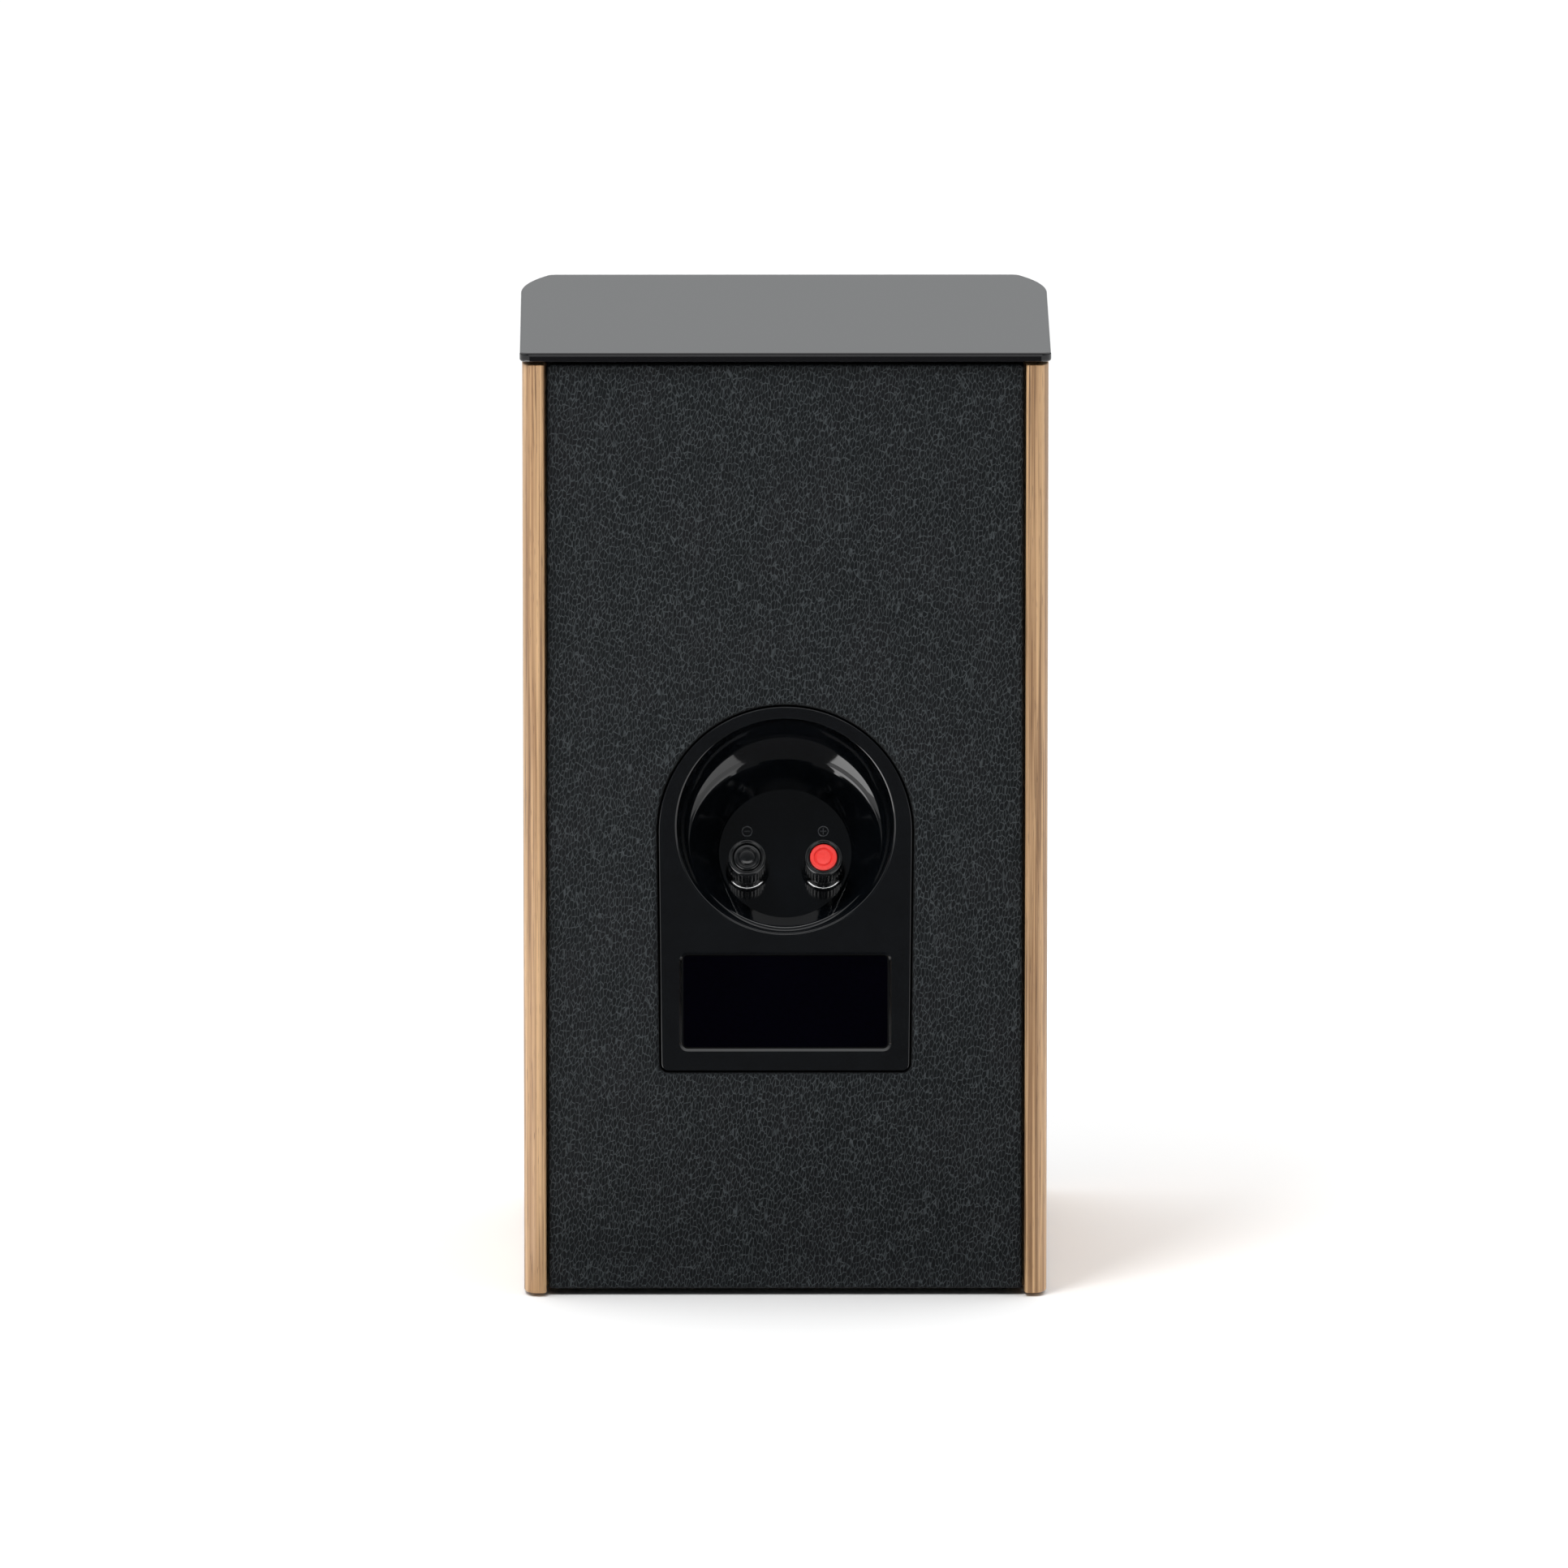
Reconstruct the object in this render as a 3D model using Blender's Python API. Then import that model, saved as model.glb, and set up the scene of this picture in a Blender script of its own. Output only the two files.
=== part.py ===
"""A two-way bookshelf loudspeaker, built from its separate pieces.

Frame: metres, +Z up, origin on the floor below the middle of the box. The drivers face -Y and the
terminals face +Y, with +X to the right as seen from the front.
"""

import math

import bmesh
import bpy
from mathutils import Vector

MM = 0.001
GAP = 0.3 * MM  # clearance between neighbouring pieces

# The box as a whole: the glass top is the widest and deepest piece
HEIGHT = 400 * MM
WIDTH = 225 * MM
DEPTH = 250 * MM
REAR_WIDTH = 221.4 * MM
GLASS_THICKNESS = 4 * MM
GLASS_OVERHANG = 1 * MM
GLASS_EDGE = 1.2 * MM
TAPE_THICKNESS = 0.8 * MM
TAPE_HALF = (98 * MM, 112 * MM)
TAPE_BAND = 12 * MM
CABINET_TOP = HEIGHT - GLASS_THICKNESS - TAPE_THICKNESS - 2 * GAP

# Plan of the cheeks: straight from the rear, then an arc in to the front
CHEEK_RADIUS = 127 * MM
CHEEK_ARC_Y = -72 * MM
FRONT_CORNER = 4 * MM
REAR_CORNER = 4.5 * MM

# Side panels
SIDE_BOTTOM = 1.5 * MM
NOSE_X = 5.3 * MM
NOSE_Y = 10 * MM
INNER_ROUND_X = 1.2 * MM
INNER_ROUND_Y = 3 * MM
REAR_LIP_X = 100.3 * MM
FRONT_LIP_X = 93 * MM
SIDE_INNER_X = 95 * MM
SHADOW_GAP = 0.8 * MM

# Wrapped front and rear panels, and the boards between them
REAR_FACE_Y = 120.5 * MM
FRONT_FACE_Y = -121.5 * MM
REAR_THICKNESS = 15 * MM
FRONT_THICKNESS = 16 * MM
BOARD = 15 * MM
BOARD_BOTTOM = 2.7 * MM
WRAP_ROUND = 1.6 * MM
INSIDE_REAR_Y = REAR_FACE_Y - REAR_THICKNESS - GAP
INSIDE_FRONT_Y = FRONT_FACE_Y + FRONT_THICKNESS + GAP

FOOT_RADIUS = 9 * MM
FOOT_X = 80 * MM
FOOT_Y = 95 * MM

# Terminal plate: a half circle over sides that taper a little
PLATE_FACE_Y = 119.7 * MM
PLATE_THICKNESS = 3.5 * MM
PLATE_RADIUS = 53.1 * MM
PLATE_ARC_Z = 197.1 * MM
PLATE_FOOT_HALF = 52 * MM
PLATE_BOTTOM = 95.6 * MM
PLATE_CORNER = 3 * MM
PLATE_EDGE = 0.4 * MM
PLATE_CLEARANCE = 0.4 * MM
RECESS_EDGE = 2.4 * MM
RECESS_DEPTH = 5.8 * MM
GASKET_THICKNESS = 0.9 * MM
GASKET_INSET = 1.5 * MM

# Terminal bowl, around its own centre line
BOWL_Z = 199.6 * MM
BOWL_RADIUS = 45.2 * MM
BOWL_LIP = 1.2 * MM
BOWL_LIP_SLOPE = 0.3
BOWL_SHELL_TOP = 1.6 * MM
BOWL_WALL = 2.5 * MM
BOWL_HOLE = 48.6 * MM
CREASE = {"drop": 9.3 * MM, "depth": 15 * MM, "a": 40 * MM, "b": 35.4 * MM, "tilt": 19.8}
FLOOR = {"drop": 15.9 * MM, "depth": 26 * MM, "a": 27.8 * MM, "b": 27.8 * MM, "tilt": 24.0}
BOWL_SEGMENTS = 40

# Label window
WINDOW_HALF = 43.4 * MM
WINDOW_LOW = 104.9 * MM
WINDOW_HIGH = 145 * MM
WINDOW_CORNER = 2.5 * MM
WINDOW_BEVEL = 1 * MM
WINDOW_DEPTH = 2 * MM
LABEL_THICKNESS = 0.5 * MM
LABEL_INSET = 0.6 * MM

# Binding posts, along their axis from the bowl's floor
POST_X = 16 * MM
POST_DROP = 6.9 * MM
POST_HOLE = 4 * MM
POST_HOLE_SPAN = (-8 * MM, 6 * MM)
POST_CLEAR = 4.1 * MM
POST_SEGMENTS = 16
COLLAR_CORE = 7.5 * MM
COLLAR_LEVELS = {1.4 * MM: 9.2 * MM, 2.2 * MM: 9.2 * MM, 6.2 * MM: 8.1 * MM}  # height: radius
COLLAR_NOTCH = 48.0  # half angle of the wire notches at the foot and at the head
NUT_RADIUS = 6.6 * MM
NUT_SPAN = (-7.8 * MM, -2.9 * MM)
TAG_RADIUS = 5.6 * MM
TAG_SPAN = (-8.9 * MM, -8.1 * MM)
TAG_TAIL = (2.5 * MM, 13 * MM)

# Drivers and port, centre heights above the floor
WOOFER_Z = 180 * MM
TWEETER_Z = 322 * MM
PORT_Z = 52 * MM
WOOFER_SEGMENTS = 28
TWEETER_SEGMENTS = 24
SCREW_CIRCLE = 79.7 * MM
PILOT_RADIUS = 2 * MM
PILOT_DEPTH = 15.6 * MM
FLANGE_HOLE = 2.2 * MM
BASKET_WINDOWS = 6
BASKET_WINDOW_LOW = (44 * MM, -13 * MM, 15 * MM)
BASKET_WINDOW_HIGH = (90 * MM, 13 * MM, 38 * MM)
# centre height, flange radius, flange depth, hole radius, segments
SEATS = {
    "woofer": (WOOFER_Z, 83.4 * MM, 5 * MM, 76.4 * MM, WOOFER_SEGMENTS),
    "tweeter": (TWEETER_Z, 52.4 * MM, 4 * MM, 38.2 * MM, TWEETER_SEGMENTS),
    "port": (PORT_Z, 36.4 * MM, 4 * MM, 31 * MM, TWEETER_SEGMENTS),
}

# Crossover board on the rear panel
CROSSOVER_HALF_X = 55 * MM
CROSSOVER_LOW = 284 * MM
CROSSOVER_HIGH = 368 * MM
CROSSOVER_THICKNESS = 1.6 * MM
CROSSOVER_STANDOFF = 6 * MM
CROSSOVER_FACE_Y = INSIDE_REAR_Y - CROSSOVER_STANDOFF - CROSSOVER_THICKNESS

# name: colour, roughness, metallic
FINISHES = {
    "veneer": ((0.50, 0.33, 0.19), 0.45, 0.0),
    "leatherette": ((0.028, 0.031, 0.036), 0.55, 0.0),
    "tinted_glass": ((0.012, 0.012, 0.014), 0.04, 0.0),
    "fibreboard": ((0.36, 0.25, 0.15), 0.8, 0.0),
    "satin_black": ((0.012, 0.014, 0.015), 0.35, 0.0),
    "gloss_black": ((0.004, 0.004, 0.005), 0.06, 0.0),
    "black_rubber": ((0.015, 0.015, 0.015), 0.7, 0.0),
    "red_plastic": ((0.95, 0.06, 0.04), 0.3, 0.0),
    "chrome": ((0.80, 0.80, 0.80), 0.08, 1.0),
    "brass": ((0.75, 0.52, 0.18), 0.25, 1.0),
    "dark_metal": ((0.06, 0.06, 0.065), 0.4, 0.8),
    "ferrite": ((0.035, 0.035, 0.038), 0.6, 0.0),
    "steel": ((0.55, 0.55, 0.56), 0.3, 1.0),
    "cone_fibre": ((0.03, 0.03, 0.034), 0.5, 0.0),
    "dome_fabric": ((0.02, 0.02, 0.02), 0.6, 0.0),
    "former_paper": ((0.45, 0.33, 0.18), 0.7, 0.0),
    "copper": ((0.72, 0.30, 0.15), 0.3, 1.0),
    "spider_cloth": ((0.55, 0.42, 0.20), 0.9, 0.0),
    "circuit_board": ((0.02, 0.10, 0.05), 0.5, 0.0),
    "capacitor_sleeve": ((0.08, 0.10, 0.20), 0.35, 0.0),
    "wire_sleeve": ((0.05, 0.05, 0.05), 0.5, 0.0),
}


# Tools ------------------------------------------------------------------------------------------


def make_material(name):
    colour, roughness, metallic = FINISHES[name]
    material = bpy.data.materials.get(name) or bpy.data.materials.new(name)
    material.use_nodes = True
    shader = material.node_tree.nodes["Principled BSDF"]
    shader.inputs["Base Color"].default_value = (*colour, 1)
    shader.inputs["Roughness"].default_value = roughness
    shader.inputs["Metallic"].default_value = metallic
    return material


def add_object(name, bm, finish, parent=None):
    """Turn a bmesh into a named object with its finish, smooth but for its sharp edges."""
    bmesh.ops.recalc_face_normals(bm, faces=bm.faces)
    mesh = bpy.data.meshes.new(name)
    bm.to_mesh(mesh)
    bm.free()
    mesh.shade_smooth()
    mesh.set_sharp_from_angle(angle=math.radians(35))
    mesh.materials.append(make_material(finish))
    piece = bpy.data.objects.new(name, mesh)
    bpy.context.scene.collection.objects.link(piece)
    piece.parent = parent
    return piece


def add_empty(name, location, rotation=(0, 0, 0)):
    empty = bpy.data.objects.new(name, None)
    empty.location = location
    empty.rotation_euler = rotation
    bpy.context.scene.collection.objects.link(empty)
    return empty


def in_mm(*pairs):
    return [(first * MM, second * MM) for first, second in pairs]


def arc(centre, radii, start, end, steps):
    """Points along an ellipse's arc, ends included; angles in degrees."""
    points = []
    for step in range(steps + 1):
        angle = math.radians(start + (end - start) * step / steps)
        x = centre[0] + radii[0] * math.cos(angle)
        y = centre[1] + radii[1] * math.sin(angle)
        points.append((x, y))
    return points


def rounded_rectangle(low, high, radius, steps=3):
    """Outline with round corners, anticlockwise from the lower left."""
    corners = [(low[0] + radius, low[1] + radius, 180), (high[0] - radius, low[1] + radius, 270)]
    corners += [(high[0] - radius, high[1] - radius, 0), (low[0] + radius, high[1] - radius, 90)]
    points = []
    for x, y, start in corners:
        points += arc((x, y), (radius, radius), start, start + 90, steps)
    return points


def loft(rings):
    """A closed solid through rings of the same number of points, flat at both ends."""
    bm = bmesh.new()
    loops = [[bm.verts.new(point) for point in ring] for ring in rings]
    for lower, upper in zip(loops, loops[1:]):
        for i in range(len(lower)):
            j = (i + 1) % len(lower)
            bm.faces.new((lower[i], lower[j], upper[j], upper[i]))
    bm.faces.new(loops[0])
    bm.faces.new(loops[-1])
    return bm


def upright(outline, low, high):
    """A plan outline in X and Y, raised from one height to another."""
    return loft([[(x, y, z) for x, y in outline] for z in (low, high)])


def standing(outline, near, far):
    """An outline in X and Z, run from one Y to another."""
    return loft([[(x, y, z) for x, z in outline] for y in (near, far)])


def turned(profile, segments, closed=True):
    """Spin (radius, height) points about Z; an open profile starts and ends on the axis."""
    bm = bmesh.new()
    verts = [bm.verts.new((radius, 0, height)) for radius, height in profile]
    edges = [bm.edges.new(pair) for pair in zip(verts, verts[1:])]
    if closed:
        edges.append(bm.edges.new((verts[-1], verts[0])))
    bmesh.ops.spin(
        bm, geom=verts + edges, axis=(0, 0, 1), angle=math.tau, steps=segments, use_merge=True
    )
    bmesh.ops.remove_doubles(bm, verts=bm.verts, dist=1e-6)
    return bm


def drum(radius, low, high, segments):
    """A plain solid cylinder about Z."""
    return turned([(0, low), (radius, low), (radius, high), (0, high)], segments, closed=False)


def block(low, high):
    """A plain box between two corners."""
    outline = [(low[0], low[1]), (high[0], low[1]), (high[0], high[1]), (low[0], high[1])]
    return upright(outline, low[2], high[2])


def combine(piece, name, bm, operation="DIFFERENCE", parent=None):
    """Cut a hidden shape from a piece, or join it on."""
    tool = add_object(name, bm, "satin_black", parent)
    tool.hide_render = True
    tool.display_type = "WIRE"
    modifier = piece.modifiers.new(name, "BOOLEAN")
    modifier.operation = operation
    modifier.solver = "EXACT"
    modifier.object = tool
    return tool


def bevel(piece, width, segments):
    modifier = piece.modifiers.new("edge_round", "BEVEL")
    modifier.width = width
    modifier.segments = segments
    modifier.limit_method = "ANGLE"
    modifier.angle_limit = math.radians(40)


def lead(name, route, radius, finish="wire_sleeve"):
    """A wire along a smooth curve through hand-placed points, given in millimetres."""
    knots = [Vector(point) * MM for point in route]
    knots = [2 * knots[0] - knots[1]] + knots + [2 * knots[-1] - knots[-2]]
    points = []
    steps = 3
    for before, start, end, after in zip(knots, knots[1:], knots[2:], knots[3:]):
        for step in range(steps):
            t = step / steps
            tangent_in = (end - before) / 2
            tangent_out = (after - start) / 2
            point = start * (2 * t**3 - 3 * t**2 + 1) + end * (3 * t**2 - 2 * t**3)
            point += tangent_in * (t**3 - 2 * t**2 + t) + tangent_out * (t**3 - t**2)
            points.append(point)
    points.append(knots[-2])
    curve = bpy.data.curves.new(name, "CURVE")
    curve.dimensions = "3D"
    curve.bevel_depth = radius
    curve.bevel_resolution = 2
    curve.use_fill_caps = True
    spline = curve.splines.new("POLY")
    spline.points.add(len(points) - 1)
    for target, point in zip(spline.points, points):
        target.co = (*point, 1)
    curve.materials.append(make_material(finish))
    wire = bpy.data.objects.new(name, curve)
    bpy.context.scene.collection.objects.link(wire)


# Cabinet ----------------------------------------------------------------------------------------


def cheek_line(inset):
    """The right-hand outer line in plan, from its straight rear stretch to the front face."""
    centre_x = WIDTH / 2 - CHEEK_RADIUS
    radius = CHEEK_RADIUS - inset
    corner_y = -DEPTH / 2 + inset + FRONT_CORNER
    reach = radius - FRONT_CORNER
    corner_x = centre_x + math.sqrt(reach**2 - (CHEEK_ARC_Y - corner_y) ** 2)
    turn = math.degrees(math.atan2(CHEEK_ARC_Y - corner_y, corner_x - centre_x))
    points = arc((centre_x, CHEEK_ARC_Y), (radius, radius), 0, -turn, 7)
    corner = arc((corner_x, corner_y), (FRONT_CORNER, FRONT_CORNER), -turn, -90, 4)
    return points + corner[1:]


def make_glass():
    half = REAR_WIDTH / 2
    rear = arc(
        (half - REAR_CORNER, DEPTH / 2 - REAR_CORNER), (REAR_CORNER, REAR_CORNER), 90, 0, 4
    )
    right = rear + cheek_line(0)
    outline = right + [(-x, y) for x, y in reversed(right)]
    glass = add_object(
        "glass_top", upright(outline, HEIGHT - GLASS_THICKNESS, HEIGHT), "tinted_glass"
    )
    bevel(glass, GLASS_EDGE, 2)


def make_tape():
    """A dark band of bonding tape between the box and the glass, a few millimetres in."""
    low = CABINET_TOP + GAP
    high = low + TAPE_THICKNESS
    half_x, half_y = TAPE_HALF
    outer = block((-half_x, -half_y, low), (half_x, half_y, high))
    tape = add_object("glass_bonding_tape", outer, "black_rubber")
    inner_x, inner_y = half_x - TAPE_BAND, half_y - TAPE_BAND
    middle = block((-inner_x, -inner_y, low - MM), (inner_x, inner_y, high + MM))
    combine(tape, "tape_middle", middle)


def side_outline():
    rear_y = DEPTH / 2 - GLASS_OVERHANG
    rear_x = REAR_WIDTH / 2 - GLASS_OVERHANG
    inner = arc(
        (REAR_LIP_X + INNER_ROUND_X, rear_y - INNER_ROUND_Y),
        (INNER_ROUND_X, INNER_ROUND_Y),
        180,
        90,
        3,
    )
    nose = arc((rear_x - NOSE_X, rear_y - NOSE_Y), (NOSE_X, NOSE_Y), 90, 0, 7)
    lip_y = -DEPTH / 2 + GLASS_OVERHANG
    front = [
        (FRONT_LIP_X + MM, lip_y),
        (FRONT_LIP_X, lip_y + MM),
        (FRONT_LIP_X, INSIDE_FRONT_Y),
        (SIDE_INNER_X, INSIDE_FRONT_Y),
        (SIDE_INNER_X, INSIDE_REAR_Y),
        (REAR_LIP_X, INSIDE_REAR_Y),
    ]
    return inner + nose + cheek_line(GLASS_OVERHANG) + front


def make_sides():
    for name, side in (("side_panel_right", 1), ("side_panel_left", -1)):
        outline = [(side * x, y) for x, y in side_outline()]
        add_object(name, upright(outline, SIDE_BOTTOM, CABINET_TOP), "veneer")


def make_boards():
    half = SIDE_INNER_X - GAP
    spans = {
        "bottom_panel": (BOARD_BOTTOM, BOARD_BOTTOM + BOARD),
        "top_panel": (CABINET_TOP - BOARD, CABINET_TOP),
    }
    for name, (low, high) in spans.items():
        corners = ((-half, INSIDE_FRONT_Y, low), (half, INSIDE_REAR_Y, high))
        add_object(name, block(*corners), "fibreboard")


def make_feet():
    top = BOARD_BOTTOM - GAP
    profile = [(0, 0), (FOOT_RADIUS - MM, 0), (FOOT_RADIUS, MM), (FOOT_RADIUS, top), (0, top)]
    places = {"front": -FOOT_Y, "rear": FOOT_Y}
    sides = {"left": -FOOT_X, "right": FOOT_X}
    for end, y in places.items():
        for side, x in sides.items():
            foot = turned(profile, 16, closed=False)
            pad = add_object(f"foot_pad_{end}_{side}", foot, "black_rubber")
            pad.location = (x, y, 0)


def plate_outline(grow):
    """Outline of the terminal plate in X and Z, larger all round by grow."""
    radius = PLATE_RADIUS + grow
    corner = PLATE_CORNER + grow
    corner_x = PLATE_FOOT_HALF - PLATE_CORNER
    corner_z = PLATE_BOTTOM + PLATE_CORNER
    points = arc((0, PLATE_ARC_Z), (radius, radius), 0, 180, 28)
    points += arc((-corner_x, corner_z), (corner, corner), 180, 270, 4)
    points += arc((corner_x, corner_z), (corner, corner), 270, 360, 4)
    return points


def plate_ring(grow, y):
    return [(x, y, z) for x, z in plate_outline(grow)]


def make_rear_panel():
    half = REAR_LIP_X - SHADOW_GAP
    outline = rounded_rectangle((-half, BOARD_BOTTOM), (half, CABINET_TOP), WRAP_ROUND, 2)
    inner_y = REAR_FACE_Y - REAR_THICKNESS
    panel = add_object("rear_panel", standing(outline, inner_y, REAR_FACE_Y), "leatherette")
    bevel(panel, WRAP_ROUND / 2, 2)
    recess_floor = REAR_FACE_Y - RECESS_DEPTH
    rings = [plate_ring(PLATE_CLEARANCE, recess_floor)]
    steps = 4
    for step in range(steps + 1):
        angle = math.pi / 2 * step / steps
        y = REAR_FACE_Y - RECESS_EDGE * (1 - math.sin(angle))
        grow = PLATE_CLEARANCE + RECESS_EDGE * (1 - math.cos(angle))
        rings.append(plate_ring(grow, y))
    rings.append(plate_ring(PLATE_CLEARANCE + RECESS_EDGE, REAR_FACE_Y + MM))
    combine(panel, "terminal_recess", loft(rings))
    hole = arc((0, BOWL_Z), (BOWL_HOLE, BOWL_HOLE), 0, 360, BOWL_SEGMENTS)[:-1]
    combine(panel, "bowl_clearance", standing(hole, inner_y - MM, recess_floor + MM))


def make_baffle():
    half = FRONT_LIP_X - SHADOW_GAP
    outline = rounded_rectangle((-half, BOARD_BOTTOM), (half, CABINET_TOP), WRAP_ROUND, 2)
    back = FRONT_FACE_Y + FRONT_THICKNESS
    baffle = add_object("front_baffle", standing(outline, FRONT_FACE_Y, back), "leatherette")
    bevel(baffle, WRAP_ROUND / 2, 2)
    front = -2 * MM
    through = FRONT_THICKNESS - front
    for name, (z, flange, depth, hole, segments) in SEATS.items():
        axis = driver_axis(f"{name}_seat_axis", z)
        steps = [(0, front), (flange, front), (flange, depth)]
        steps += [(hole, depth), (hole, through), (0, through)]
        combine(baffle, f"{name}_seat", turned(steps, segments, closed=False), parent=axis)
    axis = driver_axis("pilot_hole_axis", WOOFER_Z)
    for number, (x, y) in enumerate(screw_places()):
        pilot = drum(PILOT_RADIUS, 4 * MM, PILOT_DEPTH, 8)
        tool = combine(baffle, f"pilot_hole_{number + 1}", pilot, parent=axis)
        tool.location = (x, y, 0)


# Terminal plate ---------------------------------------------------------------------------------


def make_gasket():
    far = REAR_FACE_Y - RECESS_DEPTH + GAP + GASKET_THICKNESS
    near = far - GASKET_THICKNESS
    gasket = add_object(
        "terminal_gasket", standing(plate_outline(-GASKET_INSET), near, far), "black_rubber"
    )
    hole = arc((0, BOWL_Z), (BOWL_HOLE, BOWL_HOLE), 0, 360, BOWL_SEGMENTS)[:-1]
    combine(gasket, "gasket_hole", standing(hole, near - MM, far + MM))


def bowl_point(loop, angle, wall):
    """A point on one of the bowl's tilted loops: sideways, height and depth."""
    tilt = math.radians(loop["tilt"])
    across = (loop["a"] + wall) * math.cos(angle)
    along = (loop["b"] + wall) * math.sin(angle)
    height = along * math.cos(tilt) - loop["drop"]
    depth = loop["depth"] + wall + along * math.sin(tilt)
    return across, height, depth


def bowl_rings(wall, mouth_depth):
    """Rings down the bowl: straight mouth, quarter-round side to the crease, wall to the floor."""
    rim = {"drop": 0, "depth": mouth_depth - wall, "a": BOWL_RADIUS, "b": BOWL_RADIUS, "tilt": 0}
    rings = []
    sweep = 5
    for step in range(sweep + 2):
        ring = []
        for number in range(BOWL_SEGMENTS):
            angle = math.tau * number / BOWL_SEGMENTS
            top = bowl_point(rim, angle, wall)
            crease = bowl_point(CREASE, angle, wall)
            if step > sweep:
                x, z, depth = bowl_point(FLOOR, angle, wall)
            else:
                turn = math.pi / 2 * step / sweep
                x = top[0] + (crease[0] - top[0]) * (1 - math.cos(turn))
                z = top[1] + (crease[1] - top[1]) * (1 - math.cos(turn))
                depth = top[2] + (crease[2] - top[2]) * math.sin(turn)
            ring.append((x, PLATE_FACE_Y - depth, BOWL_Z + z))
        rings.append(ring)
    return rings


def flat_ring(radius, depth):
    """A level circle around the bowl's centre line at this depth below the plate's face."""
    ring = []
    for number in range(BOWL_SEGMENTS):
        angle = math.tau * number / BOWL_SEGMENTS
        x = radius * math.cos(angle)
        z = radius * math.sin(angle)
        ring.append((x, PLATE_FACE_Y - depth, BOWL_Z + z))
    return ring


def window_ring(grow, y):
    low = (-WINDOW_HALF - grow, WINDOW_LOW - grow)
    high = (WINDOW_HALF + grow, WINDOW_HIGH + grow)
    return [(x, y, z) for x, z in rounded_rectangle(low, high, WINDOW_CORNER + grow)]


def make_terminal_plate():
    back = PLATE_FACE_Y - PLATE_THICKNESS
    plate = add_object(
        "terminal_plate", standing(plate_outline(0), back, PLATE_FACE_Y), "satin_black"
    )
    bevel(plate, PLATE_EDGE, 1)
    combine(plate, "bowl_outside", loft(bowl_rings(BOWL_WALL, BOWL_SHELL_TOP)), "UNION")
    mouth = [flat_ring(BOWL_RADIUS + BOWL_LIP, depth) for depth in (-MM, 0)]
    throat = BOWL_LIP_SLOPE * BOWL_LIP
    mouth.append(flat_ring(BOWL_RADIUS + throat, throat))
    combine(plate, "bowl_inside", loft(mouth + bowl_rings(0, BOWL_LIP)))
    floor_y = PLATE_FACE_Y - WINDOW_DEPTH
    window = [window_ring(0, y) for y in (floor_y, PLATE_FACE_Y - WINDOW_BEVEL)]
    window += [window_ring(WINDOW_BEVEL, y) for y in (PLATE_FACE_Y, PLATE_FACE_Y + MM)]
    combine(plate, "label_window", loft(window))
    for polarity, axis in post_axes("hole").items():
        hole = drum(POST_HOLE, *POST_HOLE_SPAN, POST_SEGMENTS)
        combine(plate, f"{polarity}_post_hole", hole, parent=axis)


def make_label():
    near = PLATE_FACE_Y - WINDOW_DEPTH + GAP
    rings = [window_ring(-LABEL_INSET, y) for y in (near, near + LABEL_THICKNESS)]
    add_object("rating_label", loft(rings), "gloss_black")


def post_axes(use):
    """An empty at the foot of each binding post, with its Z along the post, out of the bowl."""
    tilt = math.radians(FLOOR["tilt"])
    foot_y = PLATE_FACE_Y - FLOOR["depth"] + POST_DROP * math.sin(tilt)
    foot_z = BOWL_Z - FLOOR["drop"] - POST_DROP * math.cos(tilt)
    axes = {}
    for polarity, x in (("negative", POST_X), ("positive", -POST_X)):
        place = (x, foot_y, foot_z)
        axes[polarity] = add_empty(f"{polarity}_{use}_axis", place, (tilt - math.pi / 2, 0, 0))
    return axes


def post_profiles():
    """Turned pieces of one post: (radius, distance from the bowl's floor) in millimetres."""
    return {
        "ring": ("chrome", in_mm((4.1, 0.3), (8.6, 0.3), (8.6, 1.1), (4.1, 1.1))),
        "clamp_washer": ("brass", in_mm((4.2, 6.5), (6.5, 6.5), (6.5, 7.5), (4.2, 7.5))),
        "knob": (
            "satin_black",
            in_mm(
                (6.9, 6.6), (7.7, 6.6), (8.0, 7.2), (8.0, 19.8), (7.3, 20.5), (6.1, 20.5),
                (6.1, 14.0), (4.1, 14.0), (4.1, 7.8), (6.9, 7.8)
            ),
        ),
    }


def make_collar(name, axis):
    """A flared collar around the post, notched down to its core where a bare wire goes in."""
    rings = []
    for height, radius in COLLAR_LEVELS.items():
        ring = []
        for foot in (90, 270):
            notch = (foot - COLLAR_NOTCH, foot + COLLAR_NOTCH)
            wing = (foot + COLLAR_NOTCH, foot + 180 - COLLAR_NOTCH)
            ring += arc((0, 0), (COLLAR_CORE, COLLAR_CORE), *notch, 5)
            ring += arc((0, 0), (radius, radius), *wing, 5)
        rings.append([(x, y, height) for x, y in ring])
    collar = add_object(name, loft(rings), "satin_black", axis)
    bottom, top = min(COLLAR_LEVELS), max(COLLAR_LEVELS)
    bore = drum(POST_CLEAR, bottom - MM, top + MM, POST_SEGMENTS)
    combine(collar, f"{name}_bore", bore, parent=axis)


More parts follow.
